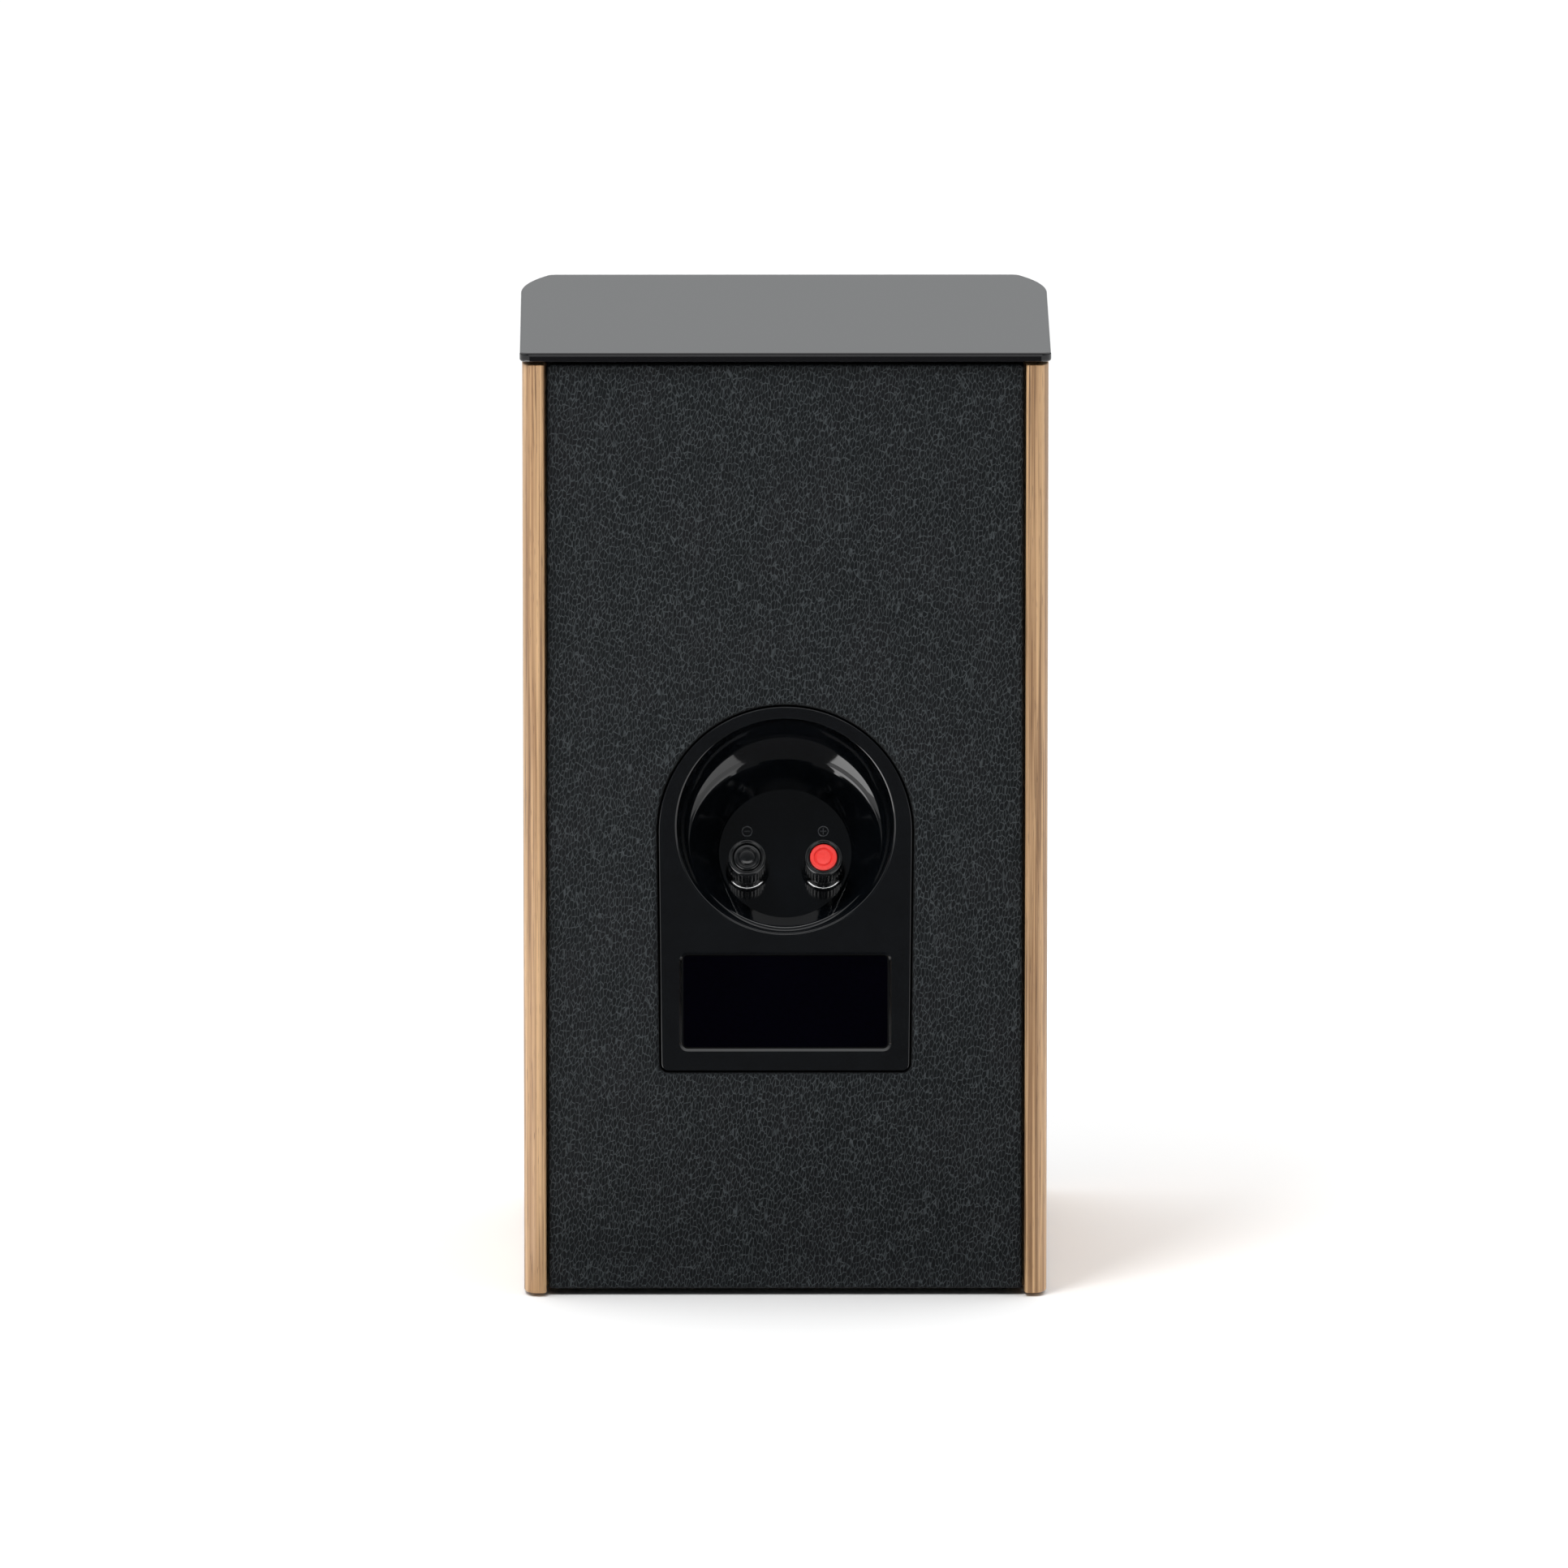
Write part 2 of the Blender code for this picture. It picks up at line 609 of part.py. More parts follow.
def make_post(polarity, axis, cap_finish):
    for part, (finish, profile) in post_profiles().items():
        add_object(f"{polarity}_post_{part}", turned(profile, POST_SEGMENTS), finish, axis)
    make_collar(f"{polarity}_post_collar", axis)
    stud = in_mm((0, -12), (3.7, -12), (3.7, 13.5), (2.2, 13.5), (2.2, 6.5), (0, 6.5))
    add_object(f"{polarity}_post_stud", turned(stud, POST_SEGMENTS, closed=False), "brass", axis)
    cap = in_mm(
        (0, 8.0), (1.6, 8.0), (1.6, 14.3), (5.75, 14.3), (5.75, 20.2), (5.2, 20.8), (3.6, 20.8),
        (3.5, 20.3), (0, 20.3)
    )
    add_object(
        f"{polarity}_post_plug_cap", turned(cap, POST_SEGMENTS, closed=False), cap_finish, axis
    )
    nut = add_object(f"{polarity}_post_nut", drum(NUT_RADIUS, *NUT_SPAN, 6), "brass", axis)
    nut_bore = drum(POST_CLEAR, NUT_SPAN[0] - MM, NUT_SPAN[1] + MM, 12)
    combine(nut, f"{polarity}_nut_bore", nut_bore, parent=axis)
    tag_outline = arc((0, 0), (TAG_RADIUS, TAG_RADIUS), 0, 180, 8)
    tag_outline += [(side * TAG_TAIL[0], -TAG_TAIL[1]) for side in (-1, 1)]
    tag = add_object(f"{polarity}_solder_tag", upright(tag_outline, *TAG_SPAN), "brass", axis)
    tag_bore = drum(POST_CLEAR, TAG_SPAN[0] - MM, TAG_SPAN[1] + MM, 12)
    combine(tag, f"{polarity}_tag_bore", tag_bore, parent=axis)


def make_posts():
    axes = post_axes("post")
    make_post("negative", axes["negative"], "satin_black")
    make_post("positive", axes["positive"], "red_plastic")


# Drivers: profiles are (radius, depth behind the baffle's face) in millimetres ---------------------


def driver_axis(name, z):
    """An empty on a driver's centre line, with its Z pointing into the box."""
    return add_empty(name, (0, FRONT_FACE_Y, z), (-math.pi / 2, 0, 0))


def screw_places():
    places = []
    for number in range(4):
        angle = math.radians(45 + 90 * number)
        places.append((SCREW_CIRCLE * math.cos(angle), SCREW_CIRCLE * math.sin(angle)))
    return places


def make_basket(axis):
    profile = in_mm(
        (74.8, 0.2), (83.0, 0.2), (83.0, 4.7), (75.8, 4.7), (75.8, 8.0), (43.5, 44.0), (43.5, 49.7),
        (20.0, 49.7), (20.0, 47.0), (36.0, 47.0), (36.0, 42.4), (41.2, 42.4), (68.2, 11.5),
        (68.2, 5.0), (74.8, 5.0)
    )
    basket = add_object("woofer_basket", turned(profile, WOOFER_SEGMENTS), "dark_metal", axis)
    for number in range(BASKET_WINDOWS):
        window = block(BASKET_WINDOW_LOW, BASKET_WINDOW_HIGH)
        tool = combine(basket, f"basket_window_{number + 1}", window, parent=axis)
        tool.rotation_euler.z = math.tau * (number + 0.5) / BASKET_WINDOWS
    for number, (x, y) in enumerate(screw_places()):
        drill = drum(FLANGE_HOLE, -MM, 8 * MM, 8)
        hole = combine(basket, f"flange_hole_{number + 1}", drill, parent=axis)
        hole.location = (x, y, 0)


def surround_profile(inner, outer, centre, radius, lip, thickness):
    """A half roll that stands out of the box, with a flat lip on each side."""
    crown = arc((centre, lip), (radius, radius), 180, 360, 5)
    inside = arc((centre, lip), (radius - thickness, radius - thickness), 360, 180, 5)
    profile = [(inner, lip), *crown[:-1], (centre + radius, lip), (outer, lip)]
    profile += [(outer, lip + thickness), (centre + radius - thickness, lip + thickness)]
    profile += inside
    profile += [(centre - radius + thickness, lip + thickness), (inner, lip + thickness)]
    return profile


def make_woofer():
    axis = driver_axis("woofer_axis", WOOFER_Z)
    make_basket(axis)
    roll = surround_profile(58.6 * MM, 74.4 * MM, 65 * MM, 4 * MM, 3.7 * MM, MM)
    add_object("woofer_surround", turned(roll, WOOFER_SEGMENTS), "black_rubber", axis)
    turned_pieces = {
        "woofer_cone": (
            "cone_fibre",
            [(60.6, 5.0), (57.8, 5.0), (40.0, 16.5), (13.6, 30.2), (13.6, 31.4), (40.6, 17.8),
             (58.2, 6.2), (60.6, 6.2)],
        ),
        "woofer_former": ("former_paper", [(12.7, 31.0), (13.2, 31.0), (13.2, 62.0), (12.7, 62.0)]),
        "woofer_winding": ("copper", [(13.5, 49.5), (14.3, 49.5), (14.3, 59.5), (13.5, 59.5)]),
        "woofer_spider": (
            "spider_cloth",
            [(13.6, 40.0), (18.0, 38.6), (22.5, 41.2), (27.0, 38.6), (31.5, 41.2), (35.0, 41.2),
             (40.4, 41.2), (40.4, 42.0), (31.0, 42.0), (27.0, 39.6), (22.5, 42.2), (18.0, 39.6),
             (13.6, 41.0)],
        ),
        "woofer_front_plate": ("steel", [(15.2, 50.0), (40, 50.0), (40, 55.0), (15.2, 55.0)]),
        "woofer_magnet": ("ferrite", [(21, 55.3), (44, 55.3), (44, 69.0), (21, 69.0)]),
        "woofer_yoke": (
            "steel",
            [(4, 50), (12.2, 50), (12.2, 69.3), (40, 69.3), (40, 74), (4, 74)],
        ),
    }
    for name, (finish, profile) in turned_pieces.items():
        add_object(name, turned(in_mm(*profile), WOOFER_SEGMENTS), finish, axis)
    cap = in_mm((0, 21.4), (9.0, 22.8), (16.6, 27.2), (16.4, 28.2), (9.0, 23.8), (0, 22.4))
    add_object("woofer_dust_cap", turned(cap, WOOFER_SEGMENTS, closed=False), "cone_fibre", axis)
    screw = in_mm(
        (0, -1.4), (2.2, -1.4), (3.0, -0.7), (3.0, -0.1), (1.7, -0.1), (1.7, 14.6), (0, 15.2)
    )
    for number, (x, y) in enumerate(screw_places()):
        name = f"woofer_screw_{number + 1}"
        piece = add_object(name, turned(screw, 8, closed=False), "dark_metal", axis)
        piece.location = (x, y, 0)


def make_tweeter():
    axis = driver_axis("tweeter_axis", TWEETER_Z)
    pieces = {
        "tweeter_faceplate": (
            "satin_black",
            [(17.4, 7.6), (22.0, 6.2), (30.0, 3.2), (36.0, 1.2), (41.0, 0.2), (52.0, 0.2),
             (52.0, 3.7), (37.4, 3.7), (24.0, 10.0), (17.4, 10.0)],
        ),
        "tweeter_voice_coil": ("copper", [(12.6, 10.6), (13.3, 10.6), (13.3, 15.6), (12.6, 15.6)]),
        "tweeter_front_plate": ("steel", [(14.4, 11.4), (36, 11.4), (36, 15.4), (14.4, 15.4)]),
        "tweeter_magnet": ("ferrite", [(18, 15.7), (36, 15.7), (36, 27.4), (18, 27.4)]),
        "tweeter_yoke": (
            "steel",
            [(4, 12.0), (11.8, 12.0), (11.8, 27.7), (33, 27.7), (33, 32), (4, 32)],
        ),
    }
    for name, (finish, profile) in pieces.items():
        add_object(name, turned(in_mm(*profile), TWEETER_SEGMENTS), finish, axis)
    dome = in_mm(
        (0, 5.4), (6.5, 6.3), (11.0, 8.3), (12.6, 9.7), (14.8, 8.6), (16.9, 10.3), (16.9, 10.9),
        (14.8, 9.3), (12.6, 10.3), (10.6, 8.9), (6.2, 6.9), (0, 6.0)
    )
    add_object("tweeter_dome", turned(dome, TWEETER_SEGMENTS, closed=False), "dome_fabric", axis)


def make_port():
    axis = driver_axis("port_axis", PORT_Z)
    flare = arc((34, 10.2), (10, 10), 270, 180, 5)
    profile = flare + [(24, 112), (26.4, 112), (26.4, 12), (30.4, 3.7), (36, 3.7), (36, 0.2)]
    add_object("port_tube", turned(in_mm(*profile), TWEETER_SEGMENTS), "satin_black", axis)


# Crossover and wiring ---------------------------------------------------------------------------


def make_crossover():
    low = (-CROSSOVER_HALF_X, CROSSOVER_FACE_Y, CROSSOVER_LOW)
    high = (CROSSOVER_HALF_X, CROSSOVER_FACE_Y + CROSSOVER_THICKNESS, CROSSOVER_HIGH)
    board = add_object("crossover_board", block(low, high), "circuit_board")
    inset = 6 * MM
    for x in (low[0] + inset, high[0] - inset):
        for z in (low[2] + inset, high[2] - inset):
            post = block(
                (x - 3 * MM, high[1] - 0.5 * MM, z - 3 * MM), (x + 3 * MM, INSIDE_REAR_Y, z + 3 * MM)
            )
            combine(board, f"standoff_{x / MM:.0f}_{z / MM:.0f}", post, "UNION")
    into_box = (math.pi / 2, 0, 0)
    sideways = (0, math.pi / 2, 0)
    # finish, profile, rotation, place
    parts = {
        "woofer_inductor": (
            "copper", [(8, 0.3), (21, 0.3), (21, 18), (8, 18)], into_box, (-26 * MM, 332 * MM)
        ),
        "tweeter_inductor": (
            "copper", [(5, 0.3), (12, 0.3), (12, 12), (5, 12)], into_box, (20 * MM, 348 * MM)
        ),
    }
    for name, (finish, profile, rotation, (x, z)) in parts.items():
        piece = add_object(name, turned(in_mm(*profile), 20), finish)
        piece.rotation_euler = rotation
        piece.location = (x, CROSSOVER_FACE_Y, z)
    can = drum(8 * MM, -17 * MM, 17 * MM, 16)
    capacitor = add_object("tweeter_capacitor", can, "capacitor_sleeve")
    capacitor.rotation_euler = sideways
    capacitor.location = (26 * MM, CROSSOVER_FACE_Y - 8.4 * MM, 322 * MM)


def make_leads():
    lead(
        "negative_input_lead",
        [(16, 82.6, 188), (18, 77, 197), (24, 71, 218), (32, 72, 250), (40, 80, 280), (42, 91, 292),
         (42, 97.2, 292)],
        1.6 * MM,
    )
    lead(
        "positive_input_lead",
        [(-16, 82.6, 188), (-16, 77, 197), (-10, 71, 218), (0, 72, 250), (8, 80, 280), (10, 91, 292),
         (10, 97.2, 292)],
        1.6 * MM,
    )
    lead(
        "woofer_lead",
        [(-44, 97.2, 292), (-44, 91, 292), (-48, 80, 286), (-58, 50, 262), (-66, -10, 222),
         (-64, -60, 190), (-44.4, -74.5, 180)],
        2 * MM,
    )
    lead(
        "tweeter_lead",
        [(46, 97.2, 358), (46, 91, 358), (45, 60, 352), (40, 0, 336), (26, -60, 324), (20, -80, 322),
         (20, -89.0, 322)],
        1.6 * MM,
    )


def main():
    for piece in list(bpy.data.objects):
        bpy.data.objects.remove(piece, do_unlink=True)
    make_glass()
    make_tape()
    make_sides()
    make_boards()
    make_feet()
    make_rear_panel()
    make_baffle()
    make_gasket()
    make_terminal_plate()
    make_label()
    make_posts()
    make_woofer()
    make_tweeter()
    make_port()
    make_crossover()
    make_leads()


main()
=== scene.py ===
"""A bookshelf loudspeaker seen from behind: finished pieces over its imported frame.

Frame: metres, +Z up, origin on the floor below the middle of the box. The drivers face -Y and the
terminals face +Y. Distances along a driver's or a post's axis are from its own foot.
"""

import math

import bmesh
import bpy
from mathutils import Matrix, Vector


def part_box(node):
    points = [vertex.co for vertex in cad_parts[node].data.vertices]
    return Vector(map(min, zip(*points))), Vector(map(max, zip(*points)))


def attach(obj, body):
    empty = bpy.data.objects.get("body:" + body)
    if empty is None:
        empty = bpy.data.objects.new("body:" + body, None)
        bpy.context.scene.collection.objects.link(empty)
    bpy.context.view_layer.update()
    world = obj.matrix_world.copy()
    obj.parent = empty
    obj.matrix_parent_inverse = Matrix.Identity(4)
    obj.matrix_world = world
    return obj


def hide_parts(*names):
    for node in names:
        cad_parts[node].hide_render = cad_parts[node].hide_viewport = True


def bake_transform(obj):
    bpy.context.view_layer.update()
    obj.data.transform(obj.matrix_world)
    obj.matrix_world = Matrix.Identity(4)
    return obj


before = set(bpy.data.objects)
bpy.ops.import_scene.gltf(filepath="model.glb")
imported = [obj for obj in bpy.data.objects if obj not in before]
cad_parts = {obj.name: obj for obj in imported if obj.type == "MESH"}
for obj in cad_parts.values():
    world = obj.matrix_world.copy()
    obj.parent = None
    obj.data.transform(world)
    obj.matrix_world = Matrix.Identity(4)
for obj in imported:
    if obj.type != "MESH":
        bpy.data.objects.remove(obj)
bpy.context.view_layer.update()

MM = 0.001

# Camera: looks at the middle of the box from behind, a little from above
CAMERA_AIM = Vector((0.214, 0, 197.98)) * MM
CAMERA_DISTANCE = 7207 * MM
CAMERA_PITCH = 9.23
CAMERA_YAW = 0.18
CAMERA_LENS = 389.2

# Cabinet
HEIGHT = 400 * MM
WIDTH = 225 * MM
DEPTH = 250 * MM
REAR_WIDTH = 221.4 * MM
GLASS_THICKNESS = 4 * MM
GLASS_OVERHANG = 1 * MM
GLASS_ROUND = 1.1 * MM
CABINET_TOP = 394.6 * MM
CHEEK_RADIUS = 127 * MM
CHEEK_ARC_Y = -72 * MM
FRONT_CORNER = 4 * MM
REAR_CORNER = 4.5 * MM
SIDE_BOTTOM = 1.5 * MM
NOSE_X = 5.3 * MM
NOSE_Y = 10 * MM
INNER_ROUND_X = 1.2 * MM
INNER_ROUND_Y = 3 * MM
REAR_LIP_X = 100.3 * MM
FRONT_LIP_X = 93 * MM
SIDE_INNER_X = 95 * MM
SHADOW_GAP = 0.8 * MM
REAR_FACE_Y = 120.5 * MM
FRONT_FACE_Y = -121.5 * MM
REAR_THICKNESS = 15 * MM
FRONT_THICKNESS = 16 * MM
BOARD_BOTTOM = 2.7 * MM
WRAP_ROUND = 1.6 * MM
SIDE_ROUND = 0.5 * MM

# Painted shade: the wrap's cloth is painted darker between these distances from the box's middle, where it
# rolls into a recess or round a panel's edge
ROLL_SHADE_FULL = 119.2 * MM
ROLL_SHADE_CLEAR = 120.4 * MM

# Terminal plate and bowl
PLATE_FACE_Y = 119.7 * MM
PLATE_THICKNESS = 3.5 * MM
PLATE_RADIUS = 53.1 * MM
PLATE_ARC_Z = 197.1 * MM
PLATE_FOOT_HALF = 52 * MM
PLATE_BOTTOM = 95.6 * MM
PLATE_CORNER = 3 * MM
PLATE_EDGE = 0.5 * MM
PLATE_CLEARANCE = 0.4 * MM
RECESS_EDGE = 2.4 * MM
RECESS_DEPTH = 5.8 * MM
BOWL_Z = 199.6 * MM
BOWL_RADIUS = 45.2 * MM
BOWL_LIP = 1.2 * MM
BOWL_WALL = 2.5 * MM
BOWL_SHELL_TOP = 1.6 * MM
BOWL_HOLE = 48.6 * MM
BOWL_SEGMENTS = 144
CREASE = {"drop": 9.3 * MM, "depth": 15 * MM, "a": 40 * MM, "b": 35.4 * MM, "tilt": 19.8}
FLOOR = {"drop": 15.9 * MM, "depth": 26 * MM, "a": 27.8 * MM, "b": 27.8 * MM, "tilt": 24.0}
WINDOW_HALF = 43.4 * MM
WINDOW_LOW = 104.9 * MM
WINDOW_HIGH = 145 * MM
WINDOW_CORNER = 2.5 * MM
WINDOW_BEVEL = 1 * MM
WINDOW_DEPTH = 2 * MM
LABEL_GAP = 0.3 * MM
LABEL_THICKNESS = 0.5 * MM
LABEL_ROUND = 0.15 * MM
LABEL_INSET = 0.6 * MM

# Binding posts
POST_X = 16 * MM
POST_DROP = 6.9 * MM
POST_SEGMENTS = 120
POST_HOLE_RADIUS = 4 * MM
POST_HOLE_SPAN = (-8 * MM, 6 * MM)
FLUTES = 30
FLUTE_DEPTH = 0.22 * MM
FLUTE_SPAN = (7.6 * MM, 18.6 * MM)
FLUTED_FROM = 7.9 * MM
THREAD_PITCH = 1 * MM
THREAD_DEPTH = 0.3 * MM
THREAD_SPAN = (1.2 * MM, 13.2 * MM)
THREADED_FROM = 3.6 * MM
COLLAR_CORE = 7.5 * MM
COLLAR_LEVELS = {1.4 * MM: 9.2 * MM, 2.2 * MM: 9.2 * MM, 6.2 * MM: 8.1 * MM}
COLLAR_NOTCH = 48.0
COLLAR_FLANGE = 8.3 * MM
COLLAR_FLANGE_SPAN = (1.15 * MM, 1.6 * MM)
COLLAR_BORE = 4.1 * MM
COLLAR_EDGE = 0.25 * MM
MARK_ABOVE_POST = 16.4 * MM
MARK_RADIUS = 2.1 * MM
MARK_STROKE = 0.45 * MM
MARK_HEIGHT = 0.5 * MM
MARK_SINK = 0.1 * MM
MARK_BAR = 2.7 * MM

# Drivers and port
WOOFER_Z = 180 * MM
TWEETER_Z = 322 * MM
PORT_Z = 52 * MM
SCREW_CIRCLE = 79.7 * MM
WOOFER_SCREW = (3.0, 1.4, 1.7, 15.2)  # head, rise, shank and length in millimetres
BASKET_WINDOWS = 6
BASKET_WINDOW = ((44 * MM, -13 * MM, 15 * MM), (90 * MM, 13 * MM, 38 * MM))
DRIVER_SEGMENTS = 128

# Height above the floor, flange radius, flange depth and hole radius of each opening in the baffle
SEATS = {
    "woofer": (WOOFER_Z, 83.4 * MM, 5 * MM, 76.4 * MM),
    "tweeter": (TWEETER_Z, 52.4 * MM, 4 * MM, 38.2 * MM),
    "port": (PORT_Z, 36.4 * MM, 4 * MM, 31 * MM),
}

# Studio, in metres
GROUND_HALF = 9.0
KEY_PLACE = (0.5, 1.0, 1.7)
KEY_AIM = (0, 0, 0.2)
KEY_SIZE = 0.5
KEY_RADIANCE = 21.0
CARD_LIFT = 0.004
CARD_NEAR = 0.135
CARD_FAR = 0.52
CARD_SIDE = 0.62
AISLE_FAR = 3.6
AISLE_HALF_NEAR = 0.13
AISLE_HALF_AT_CARDS = 0.18
AISLE_HALF_FAR = 0.62
AISLE_RADIANCE = 0.14
LEFT_CARD_RADIANCE = 4.6
RIGHT_CARD_RADIANCE = 1.7
HIGH_CARD_Y = 2.0
HIGH_CARD_HALF = 0.7
HIGH_CARD_SPAN = (0.72, 1.15)
HIGH_CARD_RADIANCE = 3.0

SHARP_ANGLE = 35
PLATE_SHARP_ANGLE = 32


# Shapes


def arc(centre, radii, start, end, steps):
    """Points along an ellipse's arc, ends included; angles in degrees."""
    points = []
    for step in range(steps + 1):
        angle = math.radians(start + (end - start) * step / steps)
        x = centre[0] + radii[0] * math.cos(angle)
        y = centre[1] + radii[1] * math.sin(angle)
        points.append((x, y))
    return points


def rounded_rectangle(low, high, radius, steps=8):
    corners = [(low[0] + radius, low[1] + radius, 180), (high[0] - radius, low[1] + radius, 270)]
    corners += [(high[0] - radius, high[1] - radius, 0), (low[0] + radius, high[1] - radius, 90)]
    points = []
    for x, y, start in corners:
        points += arc((x, y), (radius, radius), start, start + 90, steps)
    return points


def soften(corners, closed, steps=4):
    """Round a profile given as (radius, height, round) in millimetres at each corner."""
    points = []
    count = len(corners)
    longest_share = 0.48  # of a side, so that two corners never meet
    for index, (x, y, size) in enumerate(corners):
        here = Vector((x, y))
        ends = not closed and index in (0, count - 1)
        if size == 0 or ends:
            points.append(here * MM)
            continue
        before = Vector(corners[index - 1][:2]) - here
        after = Vector(corners[(index + 1) % count][:2]) - here
        reach = min(size, longest_share * before.length, longest_share * after.length)
        start = here + before.normalized() * reach
        end = here + after.normalized() * reach
        for step in range(steps + 1):
            t = step / steps
            points.append((start * (1 - t) ** 2 + here * 2 * t * (1 - t) + end * t**2) * MM)
    return [(point.x, point.y) for point in points]


def loft(rings, capped=True):
    """A surface through rings of the same number of points, closed flat at both ends."""
    bm = bmesh.new()
    loops = [[bm.verts.new(point) for point in ring] for ring in rings]
    for lower, upper in zip(loops, loops[1:]):
        for i in range(len(lower)):
            j = (i + 1) % len(lower)
            bm.faces.new((lower[i], lower[j], upper[j], upper[i]))
    if capped:
        bm.faces.new(loops[0])
        bm.faces.new(loops[-1])
    return bm


def turned(profile, segments, closed=True, radius_at=None):
    """Spin (radius, height) points about Z, with radius_at to vary the radius round the axis."""
    bm = bmesh.new()
    columns = []
    for number in range(segments):
        angle = math.tau * number / segments
        column = []
        for radius, height in profile:
            reach = radius_at(angle, radius, height) if radius_at else radius
            column.append(bm.verts.new((reach * math.cos(angle), reach * math.sin(angle), height)))
        columns.append(column)
    span = len(profile) if closed else len(profile) - 1
    for number in range(segments):
        here, after = columns[number], columns[(number + 1) % segments]
        for i in range(span):
            j = (i + 1) % len(profile)
            bm.faces.new((here[i], after[i], after[j], here[j]))
    bmesh.ops.remove_doubles(bm, verts=bm.verts, dist=1e-7)
    bmesh.ops.dissolve_degenerate(bm, edges=bm.edges, dist=1e-7)
    return bm


def round_edge(low, high, radius, steps=5):
    """(height, inset) pairs of a slab with round edges, from the bottom up."""
    quarter = []
    for step in range(steps + 1):
        angle = math.pi / 2 * step / steps
        quarter.append((radius * (1 - math.sin(angle)), radius * (1 - math.cos(angle))))
    bottom = [(low + rise, inset) for rise, inset in reversed(quarter)]
    top = [(high - rise, inset) for rise, inset in quarter]
    return bottom + top


def slab(outline_at, low, high, radius, upright=True):
    """A slab with round edges from an outline that can be drawn in; upright runs it along Z."""
    rings = []
    for level, inset in round_edge(low, high, radius):
        if upright:
            rings.append([(x, y, level) for x, y in outline_at(inset)])
        else:
            rings.append([(x, level, z) for x, z in outline_at(inset)])
    return loft(rings)


def drum(radius, low, high, segments):
    return turned([(0, low), (radius, low), (radius, high), (0, high)], segments, closed=False)


def block(low, high):
    corners = [(low[0], low[1]), (high[0], low[1]), (high[0], high[1]), (low[0], high[1])]
    return loft([[(x, y, z) for x, y in corners] for z in (low[2], high[2])])


def merge(*parts):
    """Several bmeshes in one."""
    whole = bmesh.new()
    for part in parts:
        mesh = bpy.data.meshes.new("part")
        part.to_mesh(mesh)
        part.free()
        whole.from_mesh(mesh)
        bpy.data.meshes.remove(mesh)
    return whole


# Pieces


def make_object(name, bm, matrix=None):
    """Turn a bmesh into an object, smooth but for its sharp edges, with its place in its mesh."""
    bmesh.ops.recalc_face_normals(bm, faces=bm.faces)
    if matrix:
        bm.transform(matrix)
    mesh = bpy.data.meshes.new(name)
    bm.to_mesh(mesh)
    bm.free()
    mesh.shade_smooth()
    mesh.set_sharp_from_angle(angle=math.radians(SHARP_ANGLE))
    made = bpy.data.objects.new(name, mesh)
    bpy.context.scene.collection.objects.link(made)
    return made


def cut(piece, bm, matrix=None, operation="DIFFERENCE"):
    """Cut a shape from a piece, or join it on, and keep the result in its mesh."""
    tool = make_object("tool", bm, matrix)
    modifier = piece.modifiers.new("cut", "BOOLEAN")
    modifier.operation = operation
    modifier.solver = "EXACT"
    modifier.object = tool
    apply_modifiers(piece)
    bpy.data.objects.remove(tool)


def apply_modifiers(piece):
    evaluated = piece.evaluated_get(bpy.context.evaluated_depsgraph_get())
    mesh = bpy.data.meshes.new_from_object(evaluated)
    piece.modifiers.clear()
    piece.data = mesh


def bevel(piece, width, segments, angle=40):
    modifier = piece.modifiers.new("edge", "BEVEL")
    modifier.width = width
    modifier.segments = segments
    modifier.limit_method = "ANGLE"
    modifier.angle_limit = math.radians(angle)
    apply_modifiers(piece)
    piece.data.set_sharp_from_angle(angle=math.radians(SHARP_ANGLE))


def level_flats(piece):
    """Keep flat faces flat right up to their round edges."""
    modifier = piece.modifiers.new("flats", "WEIGHTED_NORMAL")
    modifier.keep_sharp = True
    modifier.weight = 90
    apply_modifiers(piece)


def finish_piece(piece, finish, body="cabinet", nodes=(), rides=True):
    """Give a piece its material, the CAD nodes it stands for and the body it rides on."""
    level_flats(piece)
    piece.data.materials.clear()
    piece.data.materials.append(MATERIALS[finish])
    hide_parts(*nodes)
    if rides:
        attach(piece, body)
    return piece


def detail(node, bm, finish, body="cabinet", matrix=None):
    """A detailed piece in place of one CAD node."""
    piece = make_object(f"{node}_detail", bm, matrix)
    return finish_piece(piece, finish, body, [node])


# Materials

MATERIALS = {}


def start_material(name):
    made = bpy.data.materials.new(f"{name}_finish")
    made.use_nodes = True
    MATERIALS[name] = made
    return made.node_tree, made.node_tree.nodes["Principled BSDF"]


def add_node(tree, kind, values=None, **properties):
    made = tree.nodes.new(kind)
    for key, value in properties.items():
        setattr(made, key, value)
    for key, value in (values or {}).items():
        made.inputs[key].default_value = value
    return made


def position(tree, scale, turn=0.0):
    """The point on the object in cycles along each axis, after a turn about Y in degrees."""
    place = add_node(tree, "ShaderNodeTexCoord")
    rotate = add_node(tree, "ShaderNodeMapping", {"Rotation": (0, math.radians(turn), 0)})
    stretch = add_node(tree, "ShaderNodeMapping", {"Scale": scale})
    tree.links.new(place.outputs["Object"], rotate.inputs["Vector"])
    tree.links.new(rotate.outputs["Vector"], stretch.inputs["Vector"])
    return stretch.outputs["Vector"]


def noise(tree, scale, octaves=2.0, roughness=0.5, distortion=0.0, turn=0.0):
    """Soft random variation, from about 0.3 to 0.7."""
    texture = add_node(
        tree,
        "ShaderNodeTexNoise",
        {"Scale": 1.0, "Detail": octaves, "Roughness": roughness, "Distortion": distortion},
    )
    tree.links.new(position(tree, scale, turn), texture.inputs["Vector"])
    return texture.outputs["Fac"]


